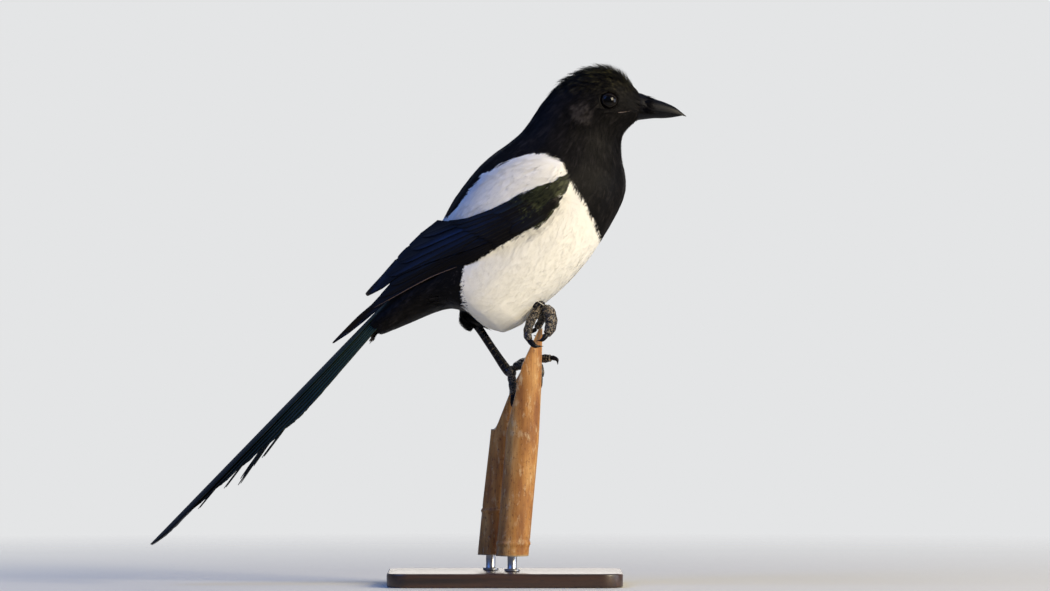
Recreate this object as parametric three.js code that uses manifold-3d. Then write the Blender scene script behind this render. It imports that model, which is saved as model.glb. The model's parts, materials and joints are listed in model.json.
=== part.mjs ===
// A Eurasian magpie that grips the slanted tips of two cut canes, held by a plain display stand.
// Millimetres, +Z up. The bird faces +X, its right side is -Y.
// The origin is the centre of the base's underside.
import * as THREE from "three";
import { mergeVertices } from "three/addons/utils/BufferGeometryUtils.js";
import Module from "manifold-3d";

const wasm = await Module();
wasm.setup();

// Driving dimensions
const GAP = 0.36; // clearance between neighbouring solids
const SHARPEST = 0.3; // a vertex on a sharp edge gives way by no more than the clearance divided by this
const WELD = 1e-4; // vertices closer than this are one
const HALVINGS = 20; // rounds in the search for a section
const AHEAD = 0.02; // share of a limb's path over which its direction is taken
const LIMB_SIDE = [0.2, 1, 0.1]; // no limb runs along this direction
const RIGHT = -1; // the side of the bird, as the sign of Y
const LEFT = 1;

const BODY = {
  around: 18, // points round a section
  steps: 31, // sections from the bill to the tail coverts
  fullness: 2.15, // 2 is an ellipse, more is squarer
  sliver: 50, // a smaller volume isn't a piece
  bladeWidth: 180, // more than the bird's width
  // Each section's plane holds the Y axis' direction: [back x, back z, front x, front z, half width]
  sections: [
    [87.0, 313.6, 86.4, 297.6, 6.6], // where the feathers meet the bill
    [82.0, 320.2, 81.3, 294.0, 10.2],
    [75.0, 328.0, 77.4, 289.6, 13.8],
    [64.0, 332.6, 75.5, 286.1, 16.4], // through the eyes
    [51.2, 331.2, 75.2, 282.2, 17.6],
    [38.4, 324.9, 75.4, 278.4, 18.8],
    [25.6, 313.6, 75.8, 274.6, 20.6], // nape and throat
    [16.6, 300.2, 76.8, 269.4, 24.2],
    [7.7, 288.6, 78.4, 263.0, 29.0],
    [-5.1, 279.7, 79.4, 254.7, 33.8], // shoulders
    [-17.3, 269.4, 76.8, 244.5, 37.8],
    [-26.2, 258.6, 71.0, 233.0, 40.4],
    [-33.3, 249.0, 63.4, 220.2, 42.0], // breast and belly meet
    [-38.4, 240.0, 52.5, 204.2, 42.4],
    [-42.9, 231.0, 38.4, 189.0, 41.8],
    [-47.4, 222.1, 22.4, 175.6, 40.0],
    [-52.5, 213.1, 4.6, 160.4, 36.8],
    [-58.2, 205.4, -12.4, 163.2, 32.4],
    [-64.0, 197.8, -28.4, 175.8, 27.4], // the white ends and the vent begins
    [-70.4, 189.4, -43.8, 173.2, 23.8],
    [-76.8, 181.8, -60.4, 166.2, 20.6],
    [-83.2, 174.7, -71.6, 161.8, 18.8],
    [-89.0, 168.3, -79.8, 158.5, 17.2], // end of the tail coverts
  ],
  // Side views of the thin cuts that part the body, then the names of the lengths, from the bill back
  cuts: [
    [[18, 319.5], [84, 268.2]], // nape to throat
    [[-15, 282.6], [90, 251.6]], // above the shoulders
    [[-52, 246], [38.5, 264], [73, 204]], // edge of the black bib, and under the wings
    [[-70, 212], [-37, 203], [-26.5, 189], [-17, 158]], // edge of the white belly
  ],
  parts: ["head", "neck", "breast", "belly", "tail_coverts"],
};

const EYE = { x: 65.9, z: 309.6, radius: 6, centreY: 12.4, around: 10, steps: 7 };

const BILL = {
  across: 6,
  fullness: 0.85, // under 1 swells the section's shoulders
  hookShare: 0.22, // size of the hook's tip, as a share of the last section
  // [x, ridge z, mouth line z, keel z, half width]
  stations: [
    [87.4, 313.4, 304.4, 297.8, 6.2],
    [91.5, 312.6, 303.4, 298.3, 5.5],
    [96.0, 311.0, 302.9, 298.7, 4.8],
    [100.5, 309.6, 302.4, 298.7, 4.0],
    [105.2, 307.7, 301.8, 299.0, 3.1],
    [109.2, 305.6, 301.3, 299.6, 2.2],
    [112.4, 303.1, 300.9, 300.2, 1.3],
  ],
  hook: [116.0, 299.9], // tip of the upper bill
};

// The folded wing is laid out in its own plane: s runs from the wrist to the tip, t rises towards the back.
const WING = {
  wrist: [42.24, 260.5],
  along: [-0.8218, -0.5698],
  across: [-0.5698, 0.8218],
  lift: 2.2, // how far the folded wing stands off the trunk
  fullness: 2.3, // of the wing's section behind the trunk
  blend: [62, 98], // the wing leaves the trunk's surface between these lengths
  // [s, distance from the middle plane], [s, t of the edge along the back] and [s, t of the lower edge]
  side: [[60, 41], [84, 36.5], [100, 30.5], [120, 23.5], [135, 18], [150, 13.2], [165, 9.8], [186, 7]],
  back: [[60, 36.4], [72.3, 31.7], [84.4, 27.8], [99.5, 26.3], [115.8, 23.4], [133.4, 18.6], [148.5, 14.8],
    [186, 9]],
  lowest: [[60, -10], [81, -9], [93, -5.6], [110, -2], [123, 0.8], [150, 1], [161, -0.8], [186, -1.6]],
};
// Outlines of the wing's tracts as [s, t] points, with the tract's thickness
const TRACTS = {
  scapulars: {
    thick: 3.2, edge: 0.8, steps: 9, across: 4,
    top: [[-2, 11.5], [0, 17], [8.7, 24.6], [17.4, 28.9], [27.3, 31.2], [37, 32.4], [46, 32.6], [56.8, 30.1],
      [66.4, 27.7], [74, 25.2], [81, 24]],
    low: [[-2, 9], [0.4, 2.4], [11.6, 4.9], [31.4, 9.4], [52.2, 12.6], [68.7, 16.8], [76.3, 20.7],
      [81, 23.2]],
  },
  wing_coverts: {
    thick: 3.4, edge: 0.8, steps: 7, across: 4,
    top: [[0.6, 1.6], [11.6, 4.4], [31.4, 8.8], [52.2, 12], [60, 14]],
    low: [[0.6, 0.2], [6.1, -3.9], [14.7, -8.4], [29.1, -12.5], [39, -11.9], [50.7, -10.6], [60, -10]],
  },
  wing_secondaries: {
    thick: 1.6, edge: 0.6, steps: 10, across: 4,
    top: [[60.4, 14], [68.7, 16.2], [76.3, 20], [81, 22.8], [86, 27.2], [99.5, 26], [115.8, 23.1],
      [133.4, 18.3], [142, 16], [148.5, 13.9]],
    low: [[60.4, -5.5], [79.4, -1], [104.8, 7.2], [126.3, 13.6], [133.5, 13.3], [148.5, 13.2]],
  },
  wing_primaries: {
    thick: 1.5, edge: 0.6, steps: 12, across: 3,
    top: [[60.4, -6], [79.4, -1.5], [104.8, 6.7], [126.3, 13.1], [131.5, 11.9], [142.8, 8.7], [151.5, 6.1],
      [161.9, 5], [174.8, 2.8], [185, 0.3]],
    low: [[60.4, -10], [81.2, -9], [93.3, -5.6], [110, -2], [123, 0.8], [140.8, 1.8], [150.3, 1], [161, -0.4],
      [173.6, -0.8], [185, -0.5]],
  },
};

// Tail feathers lie in layers under an arched surface, the middle pair on top and the shortest outermost.
const TAIL = {
  root: [-89.0, 168.3],
  start: 0.5, // clear of the tail coverts
  along: [-0.697, -0.717],
  up: [-0.717, 0.697],
  thick: 0.6,
  pitch: 0.95, // from one layer to the next
  droop: 0.0035, // how far each layer falls away from the one above, per millimetre of length
  arch: 0.02,
  steps: 5,
  across: 3,
  baseWidth: 0.7,
  fullAt: 60, // distance from the root at which a feather has its full width
  crowding: 1.5, // more brings the sections closer together towards the tip
  tipPower: 5, // more makes the tip blunter
  tipShare: 0.04, // width left at the very tip
  // [length, shaft's distance from the middle, inner vane, outer vane, layer right, layer left]
  pairs: [
    [198, 2, 10, 10, 0, 1],
    [168, 4, 3.6, 8.4, 2, 2],
    [148, 6.2, 5.8, 8, 3, 3],
    [129, 8.4, 7.8, 7.6, 4, 4],
    [110, 10.6, 8.8, 7.2, 5, 5],
    [90, 12.8, 9.2, 6.6, 6, 6],
  ],
};

// Canes: the axis as [x, y, z, radius], a joint's height, and the slanting cut as [x, z] from the tip down
const CANES = {
  perch_cane_front: {
    axis: [[4.6, -12.4, 19, 10.4], [7.6, -12.4, 54, 10.5], [10.9, -12.4, 92, 10.6], [12.6, -12.4, 128, 10.6],
      [13.6, -12.4, 172, 10.5]],
    joint: 27,
    cut: [[23.8, 168.6], [11, 141.5], [0.5, 96]],
  },
  perch_cane_back: {
    axis: [[-9.2, 12.2, 19, 8.4], [-5.8, 12.2, 54, 8.4], [-1.4, 12.2, 92, 8.4], [2.2, 12.2, 128, 8.4],
      [3.6, 12.2, 146, 8.4]],
    joint: 47.4,
    cut: [[12.3, 141], [4.2, 125.8], [-6.1, 99.6]],
  },
};
const CANE = {
  wall: 2,
  blunt: 4, // length missing from the sharp tip
  boreDepth: 12, // how far the hollow goes down below the slanting cut
  jointRise: 0.7,
  jointSpread: 2.4,
  sides: 14,
  rings: 3,
};

const STAND = {
  length: 150,
  width: 112,
  thick: 9,
  corner: 14,
  cornerSteps: 3,
  bevel: 1.2,
  rod: 3, // radius
  rodSides: 16,
};

// Legs: each path is a list of [x, y, z, radius]
const FEET = {
  right: {
    shank: [[6, -20, 189, 2.6], [16, -17, 183, 2.5], [24, -15, 177.2, 3.2]],
    toes: {
      hind: [[22.6, -16, 176.6, 2.7], [18.4, -19, 172.2, 2.6], [15.4, -22, 166.1, 2.5],
        [14.4, -24, 160.4, 2.3], [15.8, -25.4, 156.8, 1.9]],
      outer: [[25.4, -16, 177.4, 2.8], [29.4, -18.4, 175.2, 2.4], [31.5, -20.4, 170, 2.4],
        [31, -22, 164.6, 2.3], [28.8, -23.6, 160.2, 1.9]],
      middle: [[25.8, -12.6, 177.4, 2.8], [30.2, -10.4, 174.4, 2.4], [31.6, -7.2, 168.6, 2.3],
        [30, -3.8, 163, 2.1], [27, -1.8, 160, 1.8]],
      inner: [[24.6, -11.6, 177.4, 2.7], [25.6, -7.6, 176.4, 2.3], [25.6, -3.2, 172.6, 2.2],
        [23.4, -0.2, 167.6, 2], [20.6, 0.6, 164.2, 1.7]],
    },
    claws: {
      hind: [[16.6, -25.8, 155.6, 1.7], [19.4, -26.8, 152.9, 1.3], [24.6, -26.2, 153, 0.35]],
      outer: [[28, -24.2, 158.8, 1.5], [26.2, -25.6, 156.6, 1.1], [22.8, -26.2, 156.4, 0.35]],
      middle: [[25.9, -1.2, 159.2, 1.5], [22.6, 0.4, 158.4, 1.1], [18.8, 1, 160, 0.35]],
      inner: [[19.5, 0.8, 163.2, 1.4], [16.8, 0, 161.9, 1], [15.2, -2.2, 162.6, 0.35]],
    },
  },
  left: {
    shank: [[-20.4, 24.4, 169, 3], [-16.8, 23.2, 164.3, 2.3], [-8.4, 19.8, 151.4, 2.2],
      [-0.4, 16.2, 141.4, 2.7], [4.6, 14, 139, 3.2]],
    toes: {
      hind: [[4.6, 12, 138.6, 2.7], [4.2, 6.4, 134, 2.4], [4.8, 2.4, 128.4, 2.2], [5, 1.1, 121.5, 1.8]],
      outer: [[7.4, 14.4, 139.8, 2.8], [12.4, 15.4, 142.6, 2.5], [18.4, 14, 144, 2.4], [24.6, 11, 144.8, 2.4],
        [29.6, 8.6, 145.2, 2.1]],
      middle: [[7.4, 11.6, 139.8, 2.8], [13.6, 7, 142.6, 2.4], [19, 1.6, 142.6, 2.3], [22.4, -3, 138.6, 2.2],
        [22.6, -4.4, 133, 1.9]],
      inner: [[6.4, 10.4, 139.6, 2.6], [11, 5.4, 140.4, 2.3], [15.6, 2.4, 137.6, 2.1], [17.4, 1.6, 132, 1.9],
        [17, 1.2, 127.4, 1.6]],
    },
    claws: {
      hind: [[5, 0.8, 120.2, 1.6], [4.8, 0.2, 115.4, 1.1], [6.8, 0.6, 110.6, 0.35]],
      outer: [[31, 8, 145.3, 1.6], [33.4, 7.2, 144, 1.1], [33.8, 6.6, 140.8, 0.35]],
      middle: [[22.7, -4.7, 131.6, 1.5], [22.8, -4.6, 127.6, 1.1], [22.5, -4.4, 124, 0.35]],
      inner: [[16.9, 1, 126.1, 1.3], [16, 0.6, 122.4, 0.95], [14.6, 0.4, 119, 0.35]],
    },
  },
  sides: 6,
  rings: 6,
  clawRings: 4,
  clawSides: 5,
};
// The black feathering of the left leg, the only thigh that shows
const THIGH = {
  path: [[-12, 16, 190, 15], [-18, 19, 181, 12.5], [-22.4, 22, 174, 8.8], [-23, 23.6, 168.4, 5.6],
    [-20, 24.3, 166.6, 3.6]],
  sides: 12,
  rings: 7,
};

// Finishes
function finish(color, roughness, metalness = 0) {
  return new THREE.MeshStandardMaterial({ color, roughness, metalness });
}
const MATERIALS = {
  black: finish("#0d0d10", 0.75),
  white: finish("#e9e6dd", 0.85),
  blue: finish("#0b1733", 0.4, 0.3),
  green: finish("#0c1f1c", 0.4, 0.3),
  horn: finish("#17171b", 0.35),
  leg: finish("#1b1a1c", 0.5),
  eye: finish("#14100e", 0.08),
  cane: finish("#c39258", 0.8),
  base: finish("#2b2a29", 0.6),
  rod: finish("#8d8f91", 0.35, 1),
};

// Turns a closed mesh into a solid, whichever way round its faces were listed.
function solidOf(geometry) {
  const bare = geometry.clone();
  bare.deleteAttribute("normal");
  bare.deleteAttribute("uv");
  const merged = mergeVertices(bare, WELD);
  const vertProperties = merged.attributes.position.array;
  const build = (triVerts) => new wasm.Manifold(new wasm.Mesh({ numProp: 3, vertProperties, triVerts }));
  const made = build(new Uint32Array(merged.index.array));
  return made.volume() > 0 ? made : build(new Uint32Array(merged.index.array).reverse());
}

function geometryOf(solid) {
  const mesh = solid.getMesh();
  const geometry = new THREE.BufferGeometry();
  geometry.setAttribute("position", new THREE.BufferAttribute(new Float32Array(mesh.vertProperties), 3));
  geometry.setIndex(new THREE.BufferAttribute(new Uint32Array(mesh.triVerts), 1));
  geometry.computeVertexNormals();
  return geometry;
}

// The same solid, larger all round by the clearance. A vertex on an edge moves further, so that the faces
// beside it keep the clearance too.
function grown(solid) {
  const geometry = geometryOf(solid);
  const { position, normal } = geometry.attributes;
  const index = geometry.index.array;
  const spot = (i) => new THREE.Vector3().fromBufferAttribute(position, i);
  const leaning = new Float32Array(position.count).fill(1);
  for (let i = 0; i < index.length; i += 3) {
    const corners = index.slice(i, i + 3);
    const face = new THREE.Triangle(...Array.from(corners, spot)).getNormal(new THREE.Vector3());
    for (const corner of corners) {
      const away = new THREE.Vector3().fromBufferAttribute(normal, corner);
      leaning[corner] = Math.min(leaning[corner], face.dot(away));
    }
  }
  const moved = Array.from({ length: position.count }, (_, i) => {
    const away = new THREE.Vector3().fromBufferAttribute(normal, i);
    return spot(i).addScaledVector(away, GAP / Math.max(leaning[i], SHARPEST));
  });
  return solidOf(geometry.setFromPoints(moved));
}

// Skins a row of rings that have the same number of points, and closes both ends.
function loft(rings) {
  const count = rings[0].length;
  const points = rings.flat();
  const index = [];
  for (let i = 0; i < rings.length - 1; i++)
    for (let j = 0; j < count; j++) {
      const a = i * count + j;
      const b = i * count + ((j + 1) % count);
      index.push(a, b, b + count, a, b + count, a + count);
    }
  for (const [ring, first] of [[rings[0], 0], [rings.at(-1), points.length - count]]) {
    const centre = ring.reduce((sum, p) => sum.add(p), new THREE.Vector3()).divideScalar(count);
    const middle = points.push(centre) - 1;
    for (let j = 0; j < count; j++) {
      const pair = [first + j, first + ((j + 1) % count)];
      index.push(...(first ? pair : pair.reverse()), middle);
    }
  }
  return new THREE.BufferGeometry().setFromPoints(points).setIndex(index);
}

// A smooth curve through rows of numbers, read at a share of its length counted in rows.
function rowCurve(rows) {
  const curves = [];
  for (let c = 0; c < rows[0].length; c += 3) {
    const at = rows.map((r) => new THREE.Vector3(r[c], r[c + 1] ?? 0, r[c + 2] ?? 0));
    curves.push(new THREE.CatmullRomCurve3(at, false, "catmullrom"));
  }
  return (share) => curves.flatMap((curve) => curve.getPoint(share).toArray()).slice(0, rows[0].length);
}

// Straight-line reading of a list of [x, y] points
function reading(list, x) {
  const next = list.findIndex((p) => p[0] >= x);
  if (next <= 0) return (next < 0 ? list.at(-1) : list[0])[1];
  const [a, b] = [list[next - 1], list[next]];
  return a[1] + ((b[1] - a[1]) * (x - a[0])) / (b[0] - a[0]);
}

const sectionAt = rowCurve(BODY.sections);

function bodySolid() {
  const round = (v) => Math.sign(v) * Math.abs(v) ** (2 / BODY.fullness);
  const rings = Array.from({ length: BODY.steps + 1 }, (_, i) => {
    const [backX, backZ, frontX, frontZ, half] = sectionAt(i / BODY.steps);
    return Array.from({ length: BODY.around }, (_, j) => {
      const angle = (2 * Math.PI * j) / BODY.around;
      const share = (1 + round(Math.cos(angle))) / 2;
      return new THREE.Vector3(
        THREE.MathUtils.lerp(frontX, backX, share),
        half * round(Math.sin(angle)),
        THREE.MathUtils.lerp(frontZ, backZ, share),
      );
    });
  });
  return solidOf(loft(rings));
}

// Half width of the body at a point of its side view, or nothing outside the outline
function bodyHalfWidth(x, z) {
  const side = (share) => {
    const [backX, backZ, frontX, frontZ] = sectionAt(share);
    return (frontX - backX) * (z - backZ) - (frontZ - backZ) * (x - backX);
  };
  const steps = 4 * BODY.sections.length;
  for (let i = 0; i < steps; i++) {
    let [low, high] = [i / steps, (i + 1) / steps];
    if (side(low) * side(high) > 0) continue;
    for (let n = 0; n < HALVINGS; n++) {
      const middle = (low + high) / 2;
      if (side(low) * side(middle) > 0) low = middle;
      else high = middle;
    }
    const [backX, backZ, frontX, frontZ, half] = sectionAt(low);
    const span = (frontX - backX) ** 2 + (frontZ - backZ) ** 2;
    const at = ((x - backX) * (frontX - backX) + (z - backZ) * (frontZ - backZ)) / span;
    if (at <= 0 || at >= 1) continue;
    return half * (1 - Math.abs(2 * at - 1) ** BODY.fullness) ** (1 / BODY.fullness);
  }
  return undefined;
}

// A thin blade that follows a line of [x, z] points across the whole body
function blade(line) {
  return line.slice(1).map((to, i) => {
    const from = line[i];
    const length = Math.hypot(to[0] - from[0], to[1] - from[1]);
    const plate = new THREE.BoxGeometry(length + GAP, BODY.bladeWidth, GAP);
    plate.rotateY(-Math.atan2(to[1] - from[1], to[0] - from[0]));
    return solidOf(plate.translate((from[0] + to[0]) / 2, 0, (from[1] + to[1]) / 2));
  }).reduce((all, plate) => all.add(plate));
}

// Parts the body by the blades, drops any sliver left beside a wing, and lists the pieces from the bill back
function partedBody(solid) {
  const cut = BODY.cuts.reduce((rest, line) => rest.subtract(blade(line)), solid);
  const pieces = cut.decompose().filter((piece) => piece.volume() > BODY.sliver);
  const place = (piece) => {
    const { min, max } = piece.boundingBox();
    return min[0] + max[0] + min[2] + max[2];
  };
  return pieces.sort((a, b) => place(b) - place(a));
}

function wingSpot(s, t) {
  return [
    WING.wrist[0] + s * WING.along[0] + t * WING.across[0],
    WING.wrist[1] + s * WING.along[1] + t * WING.across[1],
  ];
}

// How far the folded wing's outer face stands from the middle plane
function wingReach(s, t) {
  const low = reading(WING.lowest, s);
  const rise = THREE.MathUtils.clamp((t - low) / (reading(WING.back, s) - low), 0, 1);
  const free = reading(WING.side, s) * (1 - rise ** WING.fullness) ** (1 / WING.fullness);
  const trunk = bodyHalfWidth(...wingSpot(s, t));
  if (trunk === undefined) return free;
  const share = THREE.MathUtils.smoothstep(s, ...WING.blend);
  return (trunk + WING.lift) * (1 - share) + free * share;
}

// One tract of the folded wing: a shell that follows the wing's outer face
function tractSolid(tract, side) {
  const [start, end] = [tract.top[0][0], tract.top.at(-1)[0]];
  const rings = [];
  for (let i = 0; i <= tract.steps; i++) {
    const s = start + ((end - start) * i) / tract.steps;
    const [low, top] = [reading(tract.low, s), reading(tract.top, s)];
    const outer = [];
    const inner = [];
    for (let j = 0; j <= tract.across; j++) {
      const t = low + ((top - low) * j) / tract.across;
      const swell = Math.sqrt(Math.sin((Math.PI * j) / tract.across));
      const depth = tract.edge + (tract.thick - tract.edge) * swell;
      const face = Math.max(wingReach(s, t), GAP + tract.edge);
      const [x, z] = wingSpot(s, t);
      outer.push(new THREE.Vector3(x, side * face, z));
      inner.unshift(new THREE.Vector3(x, side * Math.max(face - depth, GAP), z));
    }
    rings.push([...outer, ...inner]);
  }
  return solidOf(loft(rings));
}

// The tip of the upper bill's hook, a small copy of the section before it
function hookTip(section) {
  const [x, z] = BILL.hook;
  const mouth = BILL.stations.at(-1)[2];
  return section.map((p) => new THREE.Vector3(x, p.y * BILL.hookShare, z + (p.z - mouth) * BILL.hookShare));
}

function billSolid(upper) {
  const rings = BILL.stations.map(([x, ridge, mouth, keel, half]) => {
    const edge = mouth + (upper ? GAP / 2 : -GAP / 2);
    const height = (upper ? ridge : keel) - edge;
    return Array.from({ length: BILL.across + 1 }, (_, j) => {
      const angle = (Math.PI * j) / BILL.across;
      return new THREE.Vector3(x, half * Math.cos(angle), edge + height * Math.sin(angle) ** BILL.fullness);
    });
  });
  if (upper) rings.push(hookTip(rings.at(-1)));
  return solidOf(loft(rings));
}

function eyeSolid(side) {
  const ball = new THREE.SphereGeometry(EYE.radius, EYE.around, EYE.steps);
  ball.rotateX((-side * Math.PI) / 2).translate(EYE.x, side * EYE.centreY, EYE.z);
  return solidOf(ball);
}

// One tail feather: a thin arched plate in its own layer
function tailFeather(pair, side) {
  const [length, shaft, innerVane, outerVane, layerRight, layerLeft] = pair;
  const layer = side === RIGHT ? layerRight : layerLeft;
  const rings = [];
  for (let i = 0; i <= TAIL.steps; i++) {
    const share = 1 - (1 - i / TAIL.steps) ** TAIL.crowding;
    const along = TAIL.start + (length - TAIL.start) * share;
    const spread = THREE.MathUtils.lerp(TAIL.baseWidth, 1, Math.min(1, along / TAIL.fullAt));
    const width = Math.sqrt(1 - share ** TAIL.tipPower) + TAIL.tipShare;
    const top = [];
    const under = [];
    for (let j = 0; j <= TAIL.across; j++) {
      const reach = width * (-innerVane + ((innerVane + outerVane) * j) / TAIL.across);
      const y = spread * (shaft + Math.max(reach, -innerVane));
      const fall = TAIL.arch * y * y + layer * (TAIL.pitch + TAIL.droop * along);
      for (const [list, height] of [[top, -fall], [under, -fall - TAIL.thick]])
        list.push(
          new THREE.Vector3(
            TAIL.root[0] + TAIL.along[0] * along + TAIL.up[0] * height,
            side * y,
            TAIL.root[1] + TAIL.along[1] * along + TAIL.up[1] * height,
          ),
        );
    }
    rings.push([...top, ...under.reverse()]);
  }
  return solidOf(loft(rings));
}

// A round limb of changing thickness along a path of [x, y, z, radius]
function limb(path, sides, steps) {
  const at = rowCurve(path);
  const rings = [];
  const beside = new THREE.Vector3(...LIMB_SIDE).normalize();
  for (let i = 0; i <= steps; i++) {
    const [x, y, z, radius] = at(i / steps);
    const ahead = new THREE.Vector3(...at(Math.min(1, i / steps + AHEAD)));
    const behind = new THREE.Vector3(...at(Math.max(0, i / steps - AHEAD)));
    const forward = ahead.sub(behind).normalize();
    const across = new THREE.Vector3().crossVectors(forward, beside).normalize();
    const up = new THREE.Vector3().crossVectors(across, forward);
    const centre = new THREE.Vector3(x, y, z);
    rings.push(
      Array.from({ length: sides }, (_, j) => {
        const angle = (2 * Math.PI * j) / sides;
        return centre.clone()
          .addScaledVector(across, radius * Math.cos(angle))
          .addScaledVector(up, radius * Math.sin(angle));
      }),
    );
  }
  return solidOf(loft(rings));
}

function footSolid(foot) {
  const shank = limb(foot.shank, FEET.sides, FEET.rings);
  return Object.values(foot.toes).reduce((all, toe) => all.add(limb(toe, FEET.sides, FEET.rings)), shank);
}

// A slightly bent upright stem, as rings at the given heights. Its radius is changed by widen(height).
function stemSolid(cane, heights, widen) {
  const at = rowCurve(cane.axis);
  const [end, top] = [cane.axis[0][2], cane.axis.at(-1)[2]];
  return solidOf(loft(heights.map((height) => {
    const [x, y, , radius] = at((height - end) / (top - end));
    return Array.from({ length: CANE.sides }, (_, j) => {
      const angle = (2 * Math.PI * j) / CANE.sides;
      const reach = radius + widen(height);
      return new THREE.Vector3(x + reach * Math.cos(angle), y + reach * Math.sin(angle), height);
    });
  })));
}

function evenly(from, to, count) {
  return Array.from({ length: count + 1 }, (_, i) => from + ((to - from) * i) / count);
}

// A cut cane: a stem with a raised joint, a level lower end, and a slanting tip like a quill's
function caneSolid(cane) {
  const { axis, joint, cut } = cane;
  const [end, top] = [axis[0][2], axis.at(-1)[2]];
  const above = evenly(joint + CANE.jointSpread, top, CANE.rings);
  const heights = [end, joint - CANE.jointSpread, joint, ...above];
  const stem = stemSolid(cane, heights, (height) => (height === joint ? CANE.jointRise : 0));
  const trimmed = cut.slice(1).reduce((rest, [x, z], i) => {
    const [fromX, fromZ] = cut[i];
    const length = Math.hypot(fromZ - z, fromX - x);
    const normal = [(fromZ - z) / length, 0, (x - fromX) / length];
    return rest.trimByPlane(normal, normal[0] * x + normal[2] * z);
  }, stem);
  return trimmed.trimByPlane([0, 0, -1], CANE.blunt - cut[0][1]);
}

// The hollow that the slanting cut opens
function caneBore(cane) {
  const heights = evenly(cane.cut.at(-1)[1] - CANE.boreDepth, cane.axis.at(-1)[2], CANE.rings);
  return stemSolid(cane, heights, () => -CANE.wall);
}

function rodSolid(cane) {
  const [x, y, end] = cane.axis[0];
  const height = end - STAND.thick - GAP;
  const rod = new THREE.CylinderGeometry(STAND.rod, STAND.rod, height, STAND.rodSides);
  rod.rotateX(Math.PI / 2).translate(x, y, STAND.thick + GAP / 2 + height / 2);
  return solidOf(rod);
}

// The flat base: a rounded rectangle with softened upper and lower edges
function baseSolid() {
  const { corner: r, bevel: b } = STAND;
  const [x, y] = [STAND.length / 2 - b, STAND.width / 2 - b];
  const outline = new THREE.Shape()
    .moveTo(-x + r, -y).lineTo(x - r, -y).absarc(x - r, -y + r, r, -Math.PI / 2, 0)
    .lineTo(x, y - r).absarc(x - r, y - r, r, 0, Math.PI / 2)
    .lineTo(-x + r, y).absarc(-x + r, y - r, r, Math.PI / 2, Math.PI)
    .lineTo(-x, -y + r).absarc(-x + r, -y + r, r, Math.PI, 1.5 * Math.PI);
  const plate = new THREE.ExtrudeGeometry(outline, {
    depth: STAND.thick - 2 * b, bevelThickness: b, bevelSize: b, bevelSegments: 1,
    curveSegments: STAND.cornerSteps,
  });
  return solidOf(plate.translate(0, 0, b));
}

const magpie = new THREE.Group();
function add(name, solid, material) {
  const mesh = new THREE.Mesh(geometryOf(solid), material);
  mesh.name = name;
  magpie.add(mesh);
}

const TRACT_FINISH = {
  scapulars: MATERIALS.white,
  wing_coverts: MATERIALS.green,
  wing_secondaries: MATERIALS.blue,
  wing_primaries: MATERIALS.black,
};
const BODY_FINISH = { belly: MATERIALS.white };
const SIDES = { right: RIGHT, left: LEFT };

// The body leaves room for the folded wings and the eyes, and is then parted by thin cuts.
const plumage = bodySolid();
let trunk = plumage;
for (const [sideName, side] of Object.entries(SIDES)) {
  for (const [name, tract] of Object.entries(TRACTS)) {
    const solid = tractSolid(tract, side);
    trunk = trunk.subtract(grown(solid));
    add(`${name}_${sideName}`, solid, TRACT_FINISH[name]);
  }
  const eye = eyeSolid(side);
  trunk = trunk.subtract(grown(eye));
  add(`eye_${sideName}`, eye, MATERIALS.eye);
  TAIL.pairs.forEach((pair, i) => {
    add(`tail_feather_${sideName}_${i + 1}`, tailFeather(pair, side), MATERIALS.green);
  });
}
partedBody(trunk).forEach((piece, i) => {
  const name = BODY.parts[i];
  add(name, piece, BODY_FINISH[name] ?? MATERIALS.black);
});
const thigh = limb(THIGH.path, THIGH.sides, THIGH.rings);
add("thigh_left", thigh.subtract(grown(plumage)), MATERIALS.black);
add("bill_upper", billSolid(true), MATERIALS.horn);
add("bill_lower", billSolid(false), MATERIALS.horn);

const stems = Object.fromEntries(Object.entries(CANES).map(([name, cane]) => [name, caneSolid(cane)]));
const inTheWay = [plumage, thigh, ...Object.values(stems)].map(grown);
// The canes' slanting tips are too sharp to grow evenly, so the feet also clear each cane a little higher up.
for (const stem of Object.values(stems)) inTheWay.push(stem.translate([0, 0, 2 * GAP]));
for (const sideName of Object.keys(SIDES)) {
  const foot = inTheWay.reduce((rest, solid) => rest.subtract(solid), footSolid(FEET[sideName]));
  add(`foot_${sideName}`, foot, MATERIALS.leg);
  for (const [toe, path] of Object.entries(FEET[sideName].claws))
    add(`claw_${sideName}_${toe}`, limb(path, FEET.clawSides, FEET.clawRings), MATERIALS.horn);
}
for (const [name, cane] of Object.entries(CANES)) {
  add(name, stems[name].subtract(caneBore(cane)), MATERIALS.cane);
  add(name.replace("perch_cane", "stand_rod"), rodSolid(cane), MATERIALS.rod);
}
add("stand_base", baseSolid(), MATERIALS.base);

export default magpie;
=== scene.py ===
"""A still, life-size Eurasian magpie that grips the slanted tips of two cut reeds, on a plain display stand.

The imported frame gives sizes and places. One skin replaces the solid flesh. Body feathers lie over it as tufts
of thin closed blades, and the quills of wing and tail are closed vanes. Bill, eyes, feet, reeds and stand are
pieces of their own. The frame is in metres; the dataclass fields here are in millimetres unless they say
otherwise.
"""

import json
import logging
import math
from dataclasses import dataclass
from enum import Enum
from typing import Any, Callable, Sequence

import bmesh
import bpy
import numpy as np
from mathutils import Matrix, Vector
from mathutils.bvhtree import BVHTree
from mathutils.kdtree import KDTree

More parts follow.
